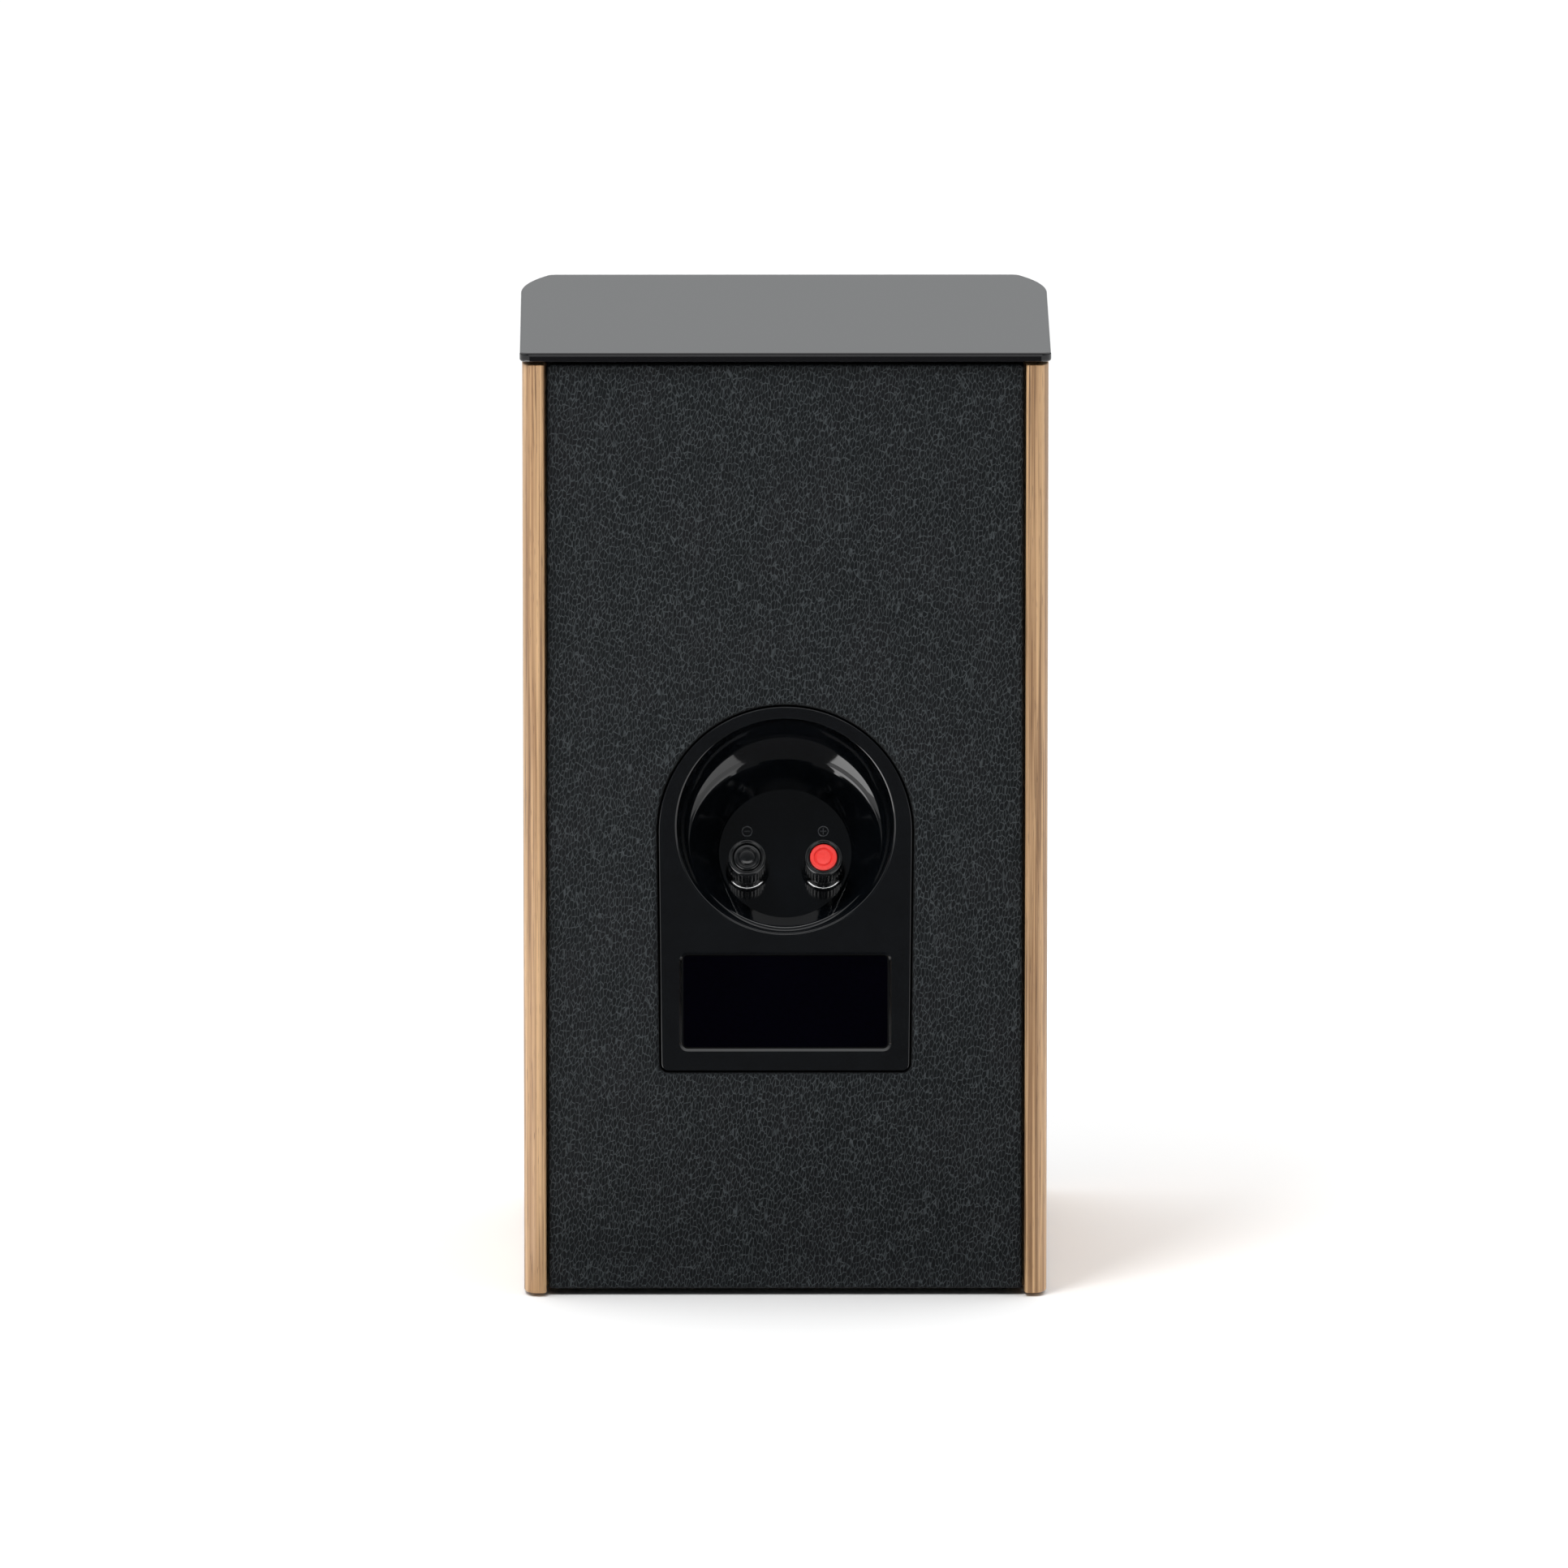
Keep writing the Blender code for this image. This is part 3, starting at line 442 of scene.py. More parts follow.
def cells(tree, scale, feature, turn=0.0):
    """Distance within a field of random cells, of the kind that the feature names."""
    texture = add_node(tree, "ShaderNodeTexVoronoi", {"Scale": 1.0}, feature=feature)
    tree.links.new(position(tree, scale, turn), texture.inputs["Vector"])
    return texture.outputs["Distance"]


def waves(tree, scale, direction, distortion=0.0):
    """Even stripes across one axis."""
    texture = add_node(
        tree,
        "ShaderNodeTexWave",
        {"Scale": 1.0, "Distortion": distortion},
        bands_direction=direction,
    )
    tree.links.new(position(tree, scale), texture.inputs["Vector"])
    return texture.outputs["Fac"]


def span(tree, value, low, high, to_low=0.0, to_high=1.0):
    """Map a value from one range to another, held at both ends."""
    made = add_node(
        tree,
        "ShaderNodeMapRange",
        {"From Min": low, "From Max": high, "To Min": to_low, "To Max": to_high},
    )
    tree.links.new(value, made.inputs["Value"])
    return made.outputs["Result"]


def maths(tree, operation, first, second):
    """One sum on two values, each fixed or from another node."""
    made = add_node(tree, "ShaderNodeMath", operation=operation)
    for socket, value in zip(made.inputs, (first, second)):
        if isinstance(value, (int, float)):
            socket.default_value = value
        else:
            tree.links.new(value, socket)
    return made.outputs["Value"]


def colour_between(tree, factor, first, second):
    """Mix two colours, each fixed or from another node."""
    made = add_node(tree, "ShaderNodeMix", data_type="RGBA")
    tree.links.new(factor, made.inputs["Factor"])
    for key, value in (("A", first), ("B", second)):
        socket = next(s for s in made.inputs if s.name == key and s.type == "RGBA")
        if isinstance(value, tuple):
            socket.default_value = (*value, 1)
        else:
            tree.links.new(value, socket)
    return next(s for s in made.outputs if s.type == "RGBA")


def relief(tree, shader, layers):
    """Bump from (height, depth in metres) layers, one over the other."""
    below = None
    for height, depth in layers:
        bump = add_node(tree, "ShaderNodeBump", {"Strength": 1.0, "Distance": depth})
        tree.links.new(height, bump.inputs["Height"])
        if below:
            tree.links.new(below, bump.inputs["Normal"])
        below = bump.outputs["Normal"]
    tree.links.new(below, shader.inputs["Normal"])


def set_sockets(shader, values):
    for key, value in values.items():
        shader.inputs[key].default_value = value


def make_veneer():
    """Oiled light veneer: broad tone, bands and streaks of grain along Z, and short dark pores."""
    tree, shader = start_material("veneer")
    broad = span(tree, noise(tree, (130, 60, 1.2), 2.0, 0.5, 0.3), 0.32, 0.68)
    bands = span(tree, noise(tree, (520, 240, 4.5), 3.0, 0.55, 0.5), 0.36, 0.64)
    streaks = span(tree, noise(tree, (900, 500, 11), 2.0, 0.5, 0.6), 0.56, 0.70)
    fibre = span(tree, noise(tree, (2400, 1700, 40), 3.0, 0.6), 0.32, 0.68)
    pores = span(tree, noise(tree, (2800, 2000, 110), 1.0, 0.5), 0.64, 0.74)
    toned = colour_between(tree, broad, (0.165, 0.078, 0.028), (0.37, 0.20, 0.092))
    banded = colour_between(tree, maths(tree, "MULTIPLY", bands, 0.95), toned, (0.74, 0.47, 0.245))
    streaked = colour_between(tree, maths(tree, "MULTIPLY", streaks, 0.9), banded, (0.12, 0.055, 0.022))
    fibred = colour_between(tree, maths(tree, "MULTIPLY", fibre, 0.25), streaked, (0.62, 0.38, 0.195))
    pored = colour_between(tree, maths(tree, "MULTIPLY", pores, 0.6), fibred, (0.12, 0.06, 0.03))
    tree.links.new(pored, shader.inputs["Base Color"])
    tree.links.new(span(tree, fibre, 0, 1, 0.42, 0.56), shader.inputs["Roughness"])
    relief(tree, shader, [(pores, -0.00006), (fibre, 0.00002)])
    set_sockets(shader, {"Specular IOR Level": 0.4, "Coat Weight": 0.1, "Coat Roughness": 0.3})


def make_leatherette():
    """Dark slate leathercloth: a net of raised wrinkles painted light as a highlight, and painted shade
    where it rolls below the panel's face.
    """
    tree, shader = start_material("leatherette")
    net = span(tree, cells(tree, (800, 800, 330), "DISTANCE_TO_EDGE", 8), 0.01, 0.11, 1.0, 0.0)
    broken = span(tree, noise(tree, (900, 900, 330), 1.0, 0.5, 0.0, -6), 0.35, 0.62, 0.5, 1.0)
    wrinkles = maths(tree, "MULTIPLY", net, broken)
    pebble = span(tree, noise(tree, (1300, 1300, 700), 2.0, 0.6), 0.35, 0.65)
    blotch = span(tree, noise(tree, (55, 55, 38), 2.0, 0.5), 0.42, 0.66)
    base = colour_between(tree, pebble, (0.0030, 0.0042, 0.0052), (0.0058, 0.0078, 0.0091))
    tinted = colour_between(tree, maths(tree, "MULTIPLY", blotch, 0.3), base, (0.009, 0.008, 0.010))
    # Painted highlight: the wrinkles' raised ridges are painted lighter, on top of their real relief and
    # lower roughness.
    wrinkle_highlit = colour_between(tree, wrinkles, tinted, (0.052, 0.060, 0.064))
    # Painted shade: the cloth is painted near black where it rolls below the panels' faces.
    shaded = colour_between(tree, recess_painted_shade(tree), (0.001, 0.0012, 0.0016), wrinkle_highlit)
    tree.links.new(shaded, shader.inputs["Base Color"])
    tree.links.new(span(tree, wrinkles, 0, 1, 0.72, 0.55), shader.inputs["Roughness"])
    relief(tree, shader, [(wrinkles, 0.00008), (pebble, 0.00005)])
    set_sockets(shader, {"Specular IOR Level": 0.15})


def recess_painted_shade(tree):
    """Mask for painted shade: 1 on the panels' faces, falling to 0 where the cloth rolls down into a
    recess or round an edge.
    """
    place = add_node(tree, "ShaderNodeTexCoord")
    axes = add_node(tree, "ShaderNodeSeparateXYZ")
    tree.links.new(place.outputs["Object"], axes.inputs["Vector"])
    return span(tree, maths(tree, "ABSOLUTE", axes.outputs["Y"], 0), ROLL_SHADE_FULL, ROLL_SHADE_CLEAR)


def make_glass():
    """Black glass: polished, with the faintest haze."""
    tree, shader = start_material("tinted_glass")
    haze = noise(tree, (14, 14, 14), 3.0)
    base = colour_between(tree, haze, (0.002, 0.002, 0.003), (0.005, 0.005, 0.006))
    tree.links.new(base, shader.inputs["Base Color"])
    tree.links.new(span(tree, haze, 0.2, 0.8, 0.02, 0.05), shader.inputs["Roughness"])
    set_sockets(shader, {"IOR": 1.5})


def make_spotted(name, dark, light, scale, rough, metallic=0.0, depth=0.0, sockets=None):
    """A finish that varies a little: two colours, a roughness range and a fine relief."""
    tree, shader = start_material(name)
    speckle = noise(tree, (scale,) * 3, 4.0, 0.6)
    drift = noise(tree, (scale / 18,) * 3, 2.0, 0.5)
    both = span(tree, maths(tree, "ADD", speckle, drift), 0.7, 1.3)
    tree.links.new(colour_between(tree, both, dark, light), shader.inputs["Base Color"])
    tree.links.new(span(tree, both, 0, 1, *rough), shader.inputs["Roughness"])
    if depth:
        relief(tree, shader, [(speckle, depth)])
    set_sockets(shader, {"Metallic": metallic, **(sockets or {})})


DULL = {"Specular IOR Level": 0.05}

# Dark and light colour, spots per metre, roughness range, metallic, relief in metres, other sockets
SPOTTED = {
    "fibreboard": ((0.24, 0.155, 0.085), (0.40, 0.28, 0.165), 900, (0.75, 0.9), 0.0, 0.0002),
    "black_rubber": ((0.008, 0.008, 0.009), (0.016, 0.016, 0.017), 1400, (0.55, 0.75), 0.0, 0.00004),
    "satin_black": ((0.003, 0.0034, 0.004), (0.0055, 0.0062, 0.007), 2600, (0.12, 0.17), 0.0, 0.000004),
    "moulded_black": ((0.0012, 0.0017, 0.0025), (0.0025, 0.0033, 0.0045), 1800, (0.05, 0.08)),
    # Painted highlight: the raised marks are given a lighter grey for the light they catch.
    "mark_grey": ((0.05, 0.053, 0.058), (0.075, 0.08, 0.087), 900, (0.3, 0.4)),
    "gloss_black": ((0.0002, 0.0001, 0.0012), (0.0005, 0.0003, 0.0022), 500, (0.07, 0.12), 0.0, 0.0, DULL),
    "red_plastic": ((0.80, 0.035, 0.03), (0.90, 0.055, 0.045), 700, (0.3, 0.4), 0.0, 0.00001),
    "chrome": ((0.74, 0.74, 0.75), (0.82, 0.82, 0.82), 300, (0.06, 0.12), 1.0),
    "brass": ((0.62, 0.40, 0.13), (0.78, 0.54, 0.20), 500, (0.22, 0.34), 1.0, 0.00001),
    "dark_metal": ((0.018, 0.018, 0.02), (0.03, 0.03, 0.033), 1800, (0.38, 0.52), 0.3, 0.00003),
    "former_paper": ((0.34, 0.22, 0.11), (0.50, 0.36, 0.20), 1100, (0.6, 0.8), 0.0, 0.00004),
    "steel": ((0.44, 0.44, 0.45), (0.60, 0.60, 0.61), 700, (0.26, 0.42), 1.0, 0.00002),
    "ferrite": ((0.02, 0.02, 0.022), (0.045, 0.045, 0.05), 1300, (0.5, 0.7), 0.0, 0.00006),
    "circuit_board": ((0.012, 0.075, 0.03), (0.02, 0.12, 0.05), 300, (0.35, 0.5), 0.0, 0.00002),
    "capacitor_sleeve": ((0.05, 0.065, 0.15), (0.08, 0.10, 0.22), 400, (0.25, 0.38), 0.0, 0.00002),
    "wire_sleeve": ((0.02, 0.02, 0.02), (0.05, 0.05, 0.05), 900, (0.4, 0.55), 0.0, 0.00003),
}


def make_copper():
    """Enamelled wire, laid turn beside turn."""
    tree, shader = start_material("copper")
    turns = waves(tree, (1, 900, 1), "Y")
    patches = noise(tree, (260, 260, 260), 3.0)
    base = colour_between(tree, patches, (0.55, 0.19, 0.08), (0.78, 0.32, 0.15))
    tree.links.new(base, shader.inputs["Base Color"])
    tree.links.new(span(tree, patches, 0.3, 0.7, 0.2, 0.34), shader.inputs["Roughness"])
    relief(tree, shader, [(turns, 0.0002)])
    set_sockets(shader, {"Metallic": 1.0})


def make_weave(name, dark, light, threads, depth, rough, sheen=0.0):
    """A plain woven cloth or fibre, with threads per metre both ways."""
    tree, shader = start_material(name)
    stripes_per_cycle = 3.2
    wobble = 0.4
    across = waves(tree, (threads / stripes_per_cycle, 1, 1), "X", wobble)
    along = waves(tree, (1, 1, threads / stripes_per_cycle), "Z", wobble)
    woven = maths(tree, "MULTIPLY", across, along)
    mottle = noise(tree, (120, 120, 120), 3.0)
    weave_share = maths(tree, "MULTIPLY", woven, 0.7)
    mottle_share = maths(tree, "MULTIPLY", mottle, 0.3)
    height = maths(tree, "ADD", weave_share, mottle_share)
    tree.links.new(colour_between(tree, height, dark, light), shader.inputs["Base Color"])
    tree.links.new(span(tree, height, 0, 1, rough[1], rough[0]), shader.inputs["Roughness"])
    relief(tree, shader, [(woven, depth)])
    set_sockets(shader, {"Sheen Weight": sheen})


def make_materials():
    make_veneer()
    make_leatherette()
    make_glass()
    make_copper()
    make_weave("cone_fibre", (0.004, 0.004, 0.005), (0.03, 0.03, 0.034), 900, 0.00012, (0.32, 0.5))
    make_weave("spider_cloth", (0.30, 0.20, 0.08), (0.62, 0.46, 0.20), 1400, 0.0001, (0.8, 0.95))
    make_weave("dome_fabric", (0.006, 0.006, 0.007), (0.02, 0.02, 0.022), 2600, 0.00003, (0.5, 0.7), 0.2)
    for name, values in SPOTTED.items():
        make_spotted(name, *values)


# Cabinet


def cheek_line(inset):
    """The right-hand outer line in plan, from its straight rear stretch to the front face."""
    centre_x = WIDTH / 2 - CHEEK_RADIUS
    radius = CHEEK_RADIUS - inset
    corner_y = -DEPTH / 2 + inset + FRONT_CORNER
    reach = radius - FRONT_CORNER
    corner_x = centre_x + math.sqrt(reach**2 - (CHEEK_ARC_Y - corner_y) ** 2)
    turn = math.degrees(math.atan2(CHEEK_ARC_Y - corner_y, corner_x - centre_x))
    points = arc((centre_x, CHEEK_ARC_Y), (radius, radius), 0, -turn, 24)
    corner = arc((corner_x, corner_y), (FRONT_CORNER, FRONT_CORNER), -turn, -90, 10)
    return points + corner[1:]


def glass_outline(inset):
    half = REAR_WIDTH / 2
    radius = REAR_CORNER - inset
    centre = (half - REAR_CORNER, DEPTH / 2 - REAR_CORNER)
    right = arc(centre, (radius, radius), 90, 0, 12) + cheek_line(inset)
    return right + [(-x, y) for x, y in reversed(right)]


def side_outline(inset):
    """Plan of the right-hand side panel: bullnose at the rear, curved cheek at the front."""
    rear_y = DEPTH / 2 - GLASS_OVERHANG
    rear_x = REAR_WIDTH / 2 - GLASS_OVERHANG
    inner_centre = (REAR_LIP_X + INNER_ROUND_X, rear_y - INNER_ROUND_Y)
    inner = arc(inner_centre, (INNER_ROUND_X - inset, INNER_ROUND_Y - inset), 180, 90, 8)
    nose_centre = (rear_x - NOSE_X, rear_y - NOSE_Y)
    nose = arc(nose_centre, (NOSE_X - inset, NOSE_Y - inset), 90, 0, 20)
    lip_y = -DEPTH / 2 + GLASS_OVERHANG + inset
    back_y = REAR_FACE_Y - REAR_THICKNESS
    front_y = FRONT_FACE_Y + FRONT_THICKNESS
    front = [
        (FRONT_LIP_X + MM, lip_y),
        (FRONT_LIP_X + inset, lip_y + MM),
        (FRONT_LIP_X + inset, front_y),
        (SIDE_INNER_X + inset, front_y),
        (SIDE_INNER_X + inset, back_y),
        (REAR_LIP_X + inset, back_y),
    ]
    return inner + nose + cheek_line(GLASS_OVERHANG + inset) + front


def left_side_outline(inset):
    """Plan of the left-hand side panel, the right-hand one's mirror image."""
    return [(-x, y) for x, y in side_outline(inset)]


def make_cabinet():
    low = HEIGHT - GLASS_THICKNESS
    detail("glass_top", slab(glass_outline, low, HEIGHT, GLASS_ROUND), "tinted_glass")
    right = slab(side_outline, SIDE_BOTTOM, CABINET_TOP, SIDE_ROUND)
    left = slab(left_side_outline, SIDE_BOTTOM, CABINET_TOP, SIDE_ROUND)
    detail("side_panel_right", right, "veneer")
    detail("side_panel_left", left, "veneer")


def make_feet():
    """Four rubber pads, each with a ring groove in its sole."""
    sole = [(0, 0, 0), (5.5, 0, 0), (6, 0.4, 0.2), (6.6, 0.4, 0.2), (7.1, 0, 0.2)]
    rim = [(9, 0, 0.5), (9, 2.4, 0.3), (0, 2.4, 0)]
    profile = soften(sole + rim, False)
    for end in ("front", "rear"):
        for side in ("left", "right"):
            node = f"foot_pad_{end}_{side}"
            low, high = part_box(node)
            place = Matrix.Translation(((low.x + high.x) / 2, (low.y + high.y) / 2, 0))
            detail(node, turned(profile, 48, closed=False), "black_rubber", matrix=place)


def plate_outline(grow, steps=72):
    """Outline of the terminal plate in X and Z, larger all round by grow."""
    radius = PLATE_RADIUS + grow
    corner = PLATE_CORNER + grow
    corner_x = PLATE_FOOT_HALF - PLATE_CORNER
    corner_z = PLATE_BOTTOM + PLATE_CORNER
    points = arc((0, PLATE_ARC_Z), (radius, radius), 0, 180, steps)
    points += arc((-corner_x, corner_z), (corner, corner), 180, 270, 8)
    points += arc((corner_x, corner_z), (corner, corner), 270, 360, 8)
    return points


def panel_outline(half):
    """Outline of a wrapped panel in X and Z, as a function of how far it is drawn in."""

    def outline(inset):
        low = (-half + inset, BOARD_BOTTOM + inset)
        high = (half - inset, CABINET_TOP - inset)
        return rounded_rectangle(low, high, WRAP_ROUND, 6)

    return outline


def make_rear_panel():
    """Leather-wrapped rear panel, with the wrap rolled over into the terminal recess."""
    half = REAR_LIP_X - SHADOW_GAP
    inner_y = REAR_FACE_Y - REAR_THICKNESS
    bm = slab(panel_outline(half), inner_y, REAR_FACE_Y, WRAP_ROUND, upright=False)
    panel = make_object("rear_panel_detail", bm)
    recess_floor = REAR_FACE_Y - RECESS_DEPTH
    levels = [(recess_floor, PLATE_CLEARANCE)]
    steps = 12
    for step in range(steps + 1):
        angle = math.pi / 2 * step / steps
        y = REAR_FACE_Y - RECESS_EDGE * (1 - math.sin(angle))
        levels.append((y, PLATE_CLEARANCE + RECESS_EDGE * (1 - math.cos(angle))))
    levels.append((REAR_FACE_Y + MM, PLATE_CLEARANCE + RECESS_EDGE))
    cut(panel, loft([[(x, y, z) for x, z in plate_outline(grow)] for y, grow in levels]))
    hole = arc((0, BOWL_Z), (BOWL_HOLE, BOWL_HOLE), 0, 360, 96)[:-1]
    cut(panel, loft([[(x, y, z) for x, z in hole] for y in (inner_y - MM, recess_floor + MM)]))
    finish_piece(panel, "leatherette", nodes=["rear_panel"])


def driver_matrix(z):
    """Places a driver's axis: its Z points into the box from the baffle's face."""
    return Matrix.Translation((0, FRONT_FACE_Y, z)) @ Matrix.Rotation(-math.pi / 2, 4, "X")


def make_baffle():
    """Leather-wrapped front panel, with a stepped seat for each driver and for the port."""
    half = FRONT_LIP_X - SHADOW_GAP
    back = FRONT_FACE_Y + FRONT_THICKNESS
    bm = slab(panel_outline(half), FRONT_FACE_Y, back, WRAP_ROUND, upright=False)
    baffle = make_object("front_baffle_detail", bm)
    for z, flange, depth, hole in SEATS.values():
        steps = [(0, -2, 0), (flange / MM + 2, -2, 0), (flange / MM + 0.5, 0, 0), (flange / MM, 0.6, 0.4)]
        steps += [(flange / MM, depth / MM, 0), (hole / MM, depth / MM, 0), (hole / MM, 18, 0), (0, 18, 0)]
        cut(baffle, turned(soften(steps, False), DRIVER_SEGMENTS, closed=False), driver_matrix(z))
    finish_piece(baffle, "leatherette", nodes=["front_baffle"])


# Terminal plate


def bowl_point(loop, angle, wall):
    """A point on one of the bowl's tilted loops: sideways, height and depth."""
    tilt = math.radians(loop["tilt"])
    across = (loop["a"] + wall) * math.cos(angle)
    along = (loop["b"] + wall) * math.sin(angle)
    return across, along * math.cos(tilt) - loop["drop"], loop["depth"] + wall + along * math.sin(tilt)


def bowl_rings(wall, mouth_depth, sweep=24, skirt=6):
    """Rings down the bowl: straight mouth, quarter-round side to the crease, wall to the floor."""
    rim = {"drop": 0, "depth": mouth_depth - wall, "a": BOWL_RADIUS, "b": BOWL_RADIUS, "tilt": 0}
    rings = []
    for step in range(sweep + skirt + 1):
        ring = []
        for number in range(BOWL_SEGMENTS):
            angle = math.tau * number / BOWL_SEGMENTS
            top = Vector(bowl_point(rim, angle, wall))
            crease = Vector(bowl_point(CREASE, angle, wall))
            if step > sweep:
                point = crease.lerp(Vector(bowl_point(FLOOR, angle, wall)), (step - sweep) / skirt)
            else:
                turn = math.pi / 2 * step / sweep
                inward, down = 1 - math.cos(turn), math.sin(turn)
                point = Vector((top.x, top.y, top.z))
                point.x += (crease.x - top.x) * inward
                point.y += (crease.y - top.y) * inward
                point.z += (crease.z - top.z) * down
            ring.append((point.x, PLATE_FACE_Y - point.z, BOWL_Z + point.y))
        rings.append(ring)
    return rings


def flat_ring(radius, depth):
    """A level circle around the bowl's centre line at this depth below the plate's face."""
    ring = []
    for number in range(BOWL_SEGMENTS):
        angle = math.tau * number / BOWL_SEGMENTS
        ring.append((radius * math.cos(angle), PLATE_FACE_Y - depth, BOWL_Z + radius * math.sin(angle)))
    return ring


def window_ring(grow, y):
    """Outline of the label's window, larger all round by grow."""
    low = (-WINDOW_HALF - grow, WINDOW_LOW - grow)
    high = (WINDOW_HALF + grow, WINDOW_HIGH + grow)
    return [(x, y, z) for x, z in rounded_rectangle(low, high, WINDOW_CORNER + grow)]


def post_matrix(x):
    """Places a post's axis: Z out of the bowl, Y down its floor."""
    tilt = math.radians(FLOOR["tilt"])
    y = PLATE_FACE_Y - FLOOR["depth"] + POST_DROP * math.sin(tilt)
    z = BOWL_Z - FLOOR["drop"] - POST_DROP * math.cos(tilt)
    return Matrix.Translation((x, y, z)) @ Matrix.Rotation(tilt - math.pi / 2, 4, "X")


def mouth_rings(steps=6, lip_share=0.98):
    """Rings over the bowl's round lip, which ends just above where the bowl starts."""
    rings = [flat_ring(BOWL_RADIUS + BOWL_LIP, -MM)]
    for step in range(steps + 1):
        turn = math.pi / 2 * step / steps
        radius = BOWL_RADIUS + BOWL_LIP * (1 - math.sin(turn))
        rings.append(flat_ring(radius, BOWL_LIP * (1 - math.cos(turn)) * lip_share))
    return rings


def drawn_in_plate(inset):
    return plate_outline(-inset)


def make_terminal_plate():
    """D-shaped plate with its bowl, the label's window and a hole for each post."""
    back = PLATE_FACE_Y - PLATE_THICKNESS
    bm = slab(drawn_in_plate, back, PLATE_FACE_Y, PLATE_EDGE, upright=False)
    plate = make_object("terminal_plate_detail", bm)
    cut(plate, loft(bowl_rings(BOWL_WALL, BOWL_SHELL_TOP)), operation="UNION")
    cut(plate, loft(mouth_rings() + bowl_rings(0, BOWL_LIP)))
    window = [window_ring(0, y) for y in (PLATE_FACE_Y - WINDOW_DEPTH, PLATE_FACE_Y - WINDOW_BEVEL)]
    window += [window_ring(WINDOW_BEVEL, y) for y in (PLATE_FACE_Y, PLATE_FACE_Y + MM)]
    cut(plate, loft(window))
    for x in (POST_X, -POST_X):
        cut(plate, drum(POST_HOLE_RADIUS, *POST_HOLE_SPAN, 48), post_matrix(x))
    plate.data.set_sharp_from_angle(angle=math.radians(PLATE_SHARP_ANGLE))
    finish_piece(plate, "moulded_black", nodes=["terminal_plate"])


def make_label():
    """A blank label, set down in its window."""
    near = PLATE_FACE_Y - WINDOW_DEPTH + LABEL_GAP
    levels = round_edge(near, near + LABEL_THICKNESS, LABEL_ROUND, 3)
    rings = [window_ring(-LABEL_INSET - inset, y) for y, inset in levels]
    detail("rating_label", loft(rings), "gloss_black")


def raised_bar(length, width, height, across=False):
    """A low bar with sloping sides, standing on the bowl's floor."""
    rings = []
    for level, inset in ((-MARK_SINK, 0), (0.6 * height, 0), (height, 0.3 * width)):
        x, y = length / 2 - inset, width / 2 - inset
        if across:
            x, y = y, x
        rings.append([(-x, -y, level), (x, -y, level), (x, y, level), (-x, y, level)])
    return loft(rings)


def make_marks():
    """Raised polarity signs in rings, above each post, coloured a lighter grey as a painted highlight."""
    for polarity, x in (("negative", POST_X), ("positive", -POST_X)):
        outer, inner = (MARK_RADIUS + MARK_STROKE / 2) / MM, (MARK_RADIUS - MARK_STROKE / 2) / MM
        low, high, rounding = -MARK_SINK / MM, MARK_HEIGHT / MM, MARK_HEIGHT / MM / 2
        foot = [(inner, low, 0), (outer, low, 0)]
        profile = soften(foot + [(outer, high, rounding), (inner, high, rounding)], True)
        parts = [turned(profile, 48), raised_bar(MARK_BAR, MARK_STROKE, MARK_HEIGHT)]
        if polarity == "positive":
            parts.append(raised_bar(MARK_BAR, MARK_STROKE, MARK_HEIGHT, across=True))
        matrix = post_matrix(x) @ Matrix.Translation((0, -MARK_ABOVE_POST, 0))
        mark = make_object(f"{polarity}_mark", merge(*parts), matrix)
        finish_piece(mark, "mark_grey")


# Binding posts


def fluted(angle, radius, height):
    """Grip grooves along the barrel, faded out at both ends."""
    low, high = FLUTE_SPAN
    if radius < FLUTED_FROM or not low < height < high:
        return radius
    return radius - FLUTE_DEPTH * (0.5 + 0.5 * math.cos(FLUTES * angle)) ** 2


def threaded(angle, radius, height):
    """A single-start thread on the stud."""
    low, high = THREAD_SPAN
    if radius < THREADED_FROM or not low < height < high:
        return radius
    turn = (height / THREAD_PITCH - angle / math.tau) % 1
    return radius - THREAD_DEPTH * abs(2 * turn - 1)


def make_knob(polarity, matrix):
    """Screw knob: a fluted barrel with a rolled rim, open down its middle for the plug."""
    profile = soften(
        [
            (6.9, 6.6, 0.1), (7.7, 6.6, 0.2), (8, 7.2, 0.2), (8, 7.61, 0), (8, 7.9, 0), (8, 18.3, 0),
            (8, 18.59, 0), (8, 19.1, 0.6), (8.0, 19.9, 0.9), (7.2, 20.5, 0.7), (6.5, 20.0, 0.4),
            (6.35, 20.3, 0.2), (6.1, 20.3, 0.15), (6.1, 14, 0), (4.1, 14, 0), (4.1, 7.8, 0), (6.9, 7.8, 0),
        ],
        True,
    )
    bm = turned(profile, FLUTES * 8, radius_at=fluted)
    detail(f"{polarity}_post_knob", bm, "satin_black", f"{polarity}_knob", matrix)


def make_cap(polarity, matrix, finish):
    """Plug cap: a stem in the knob's bore, and a button with a ring groove."""
    profile = soften(
        [
            (0, 8, 0), (1.6, 8, 0.3), (1.6, 14.3, 0), (5.75, 14.3, 0), (5.75, 20.2, 0.7), (4.1, 20.7, 0.5),
            (3.8, 19.9, 0.15), (3.4, 19.9, 0.15), (3.1, 20.5, 0.5), (1.8, 20.7, 1), (0, 20.75, 0),
        ],
        False,
    )
    bm = turned(profile, POST_SEGMENTS, closed=False)
    detail(f"{polarity}_post_plug_cap", bm, finish, f"{polarity}_cap", matrix)


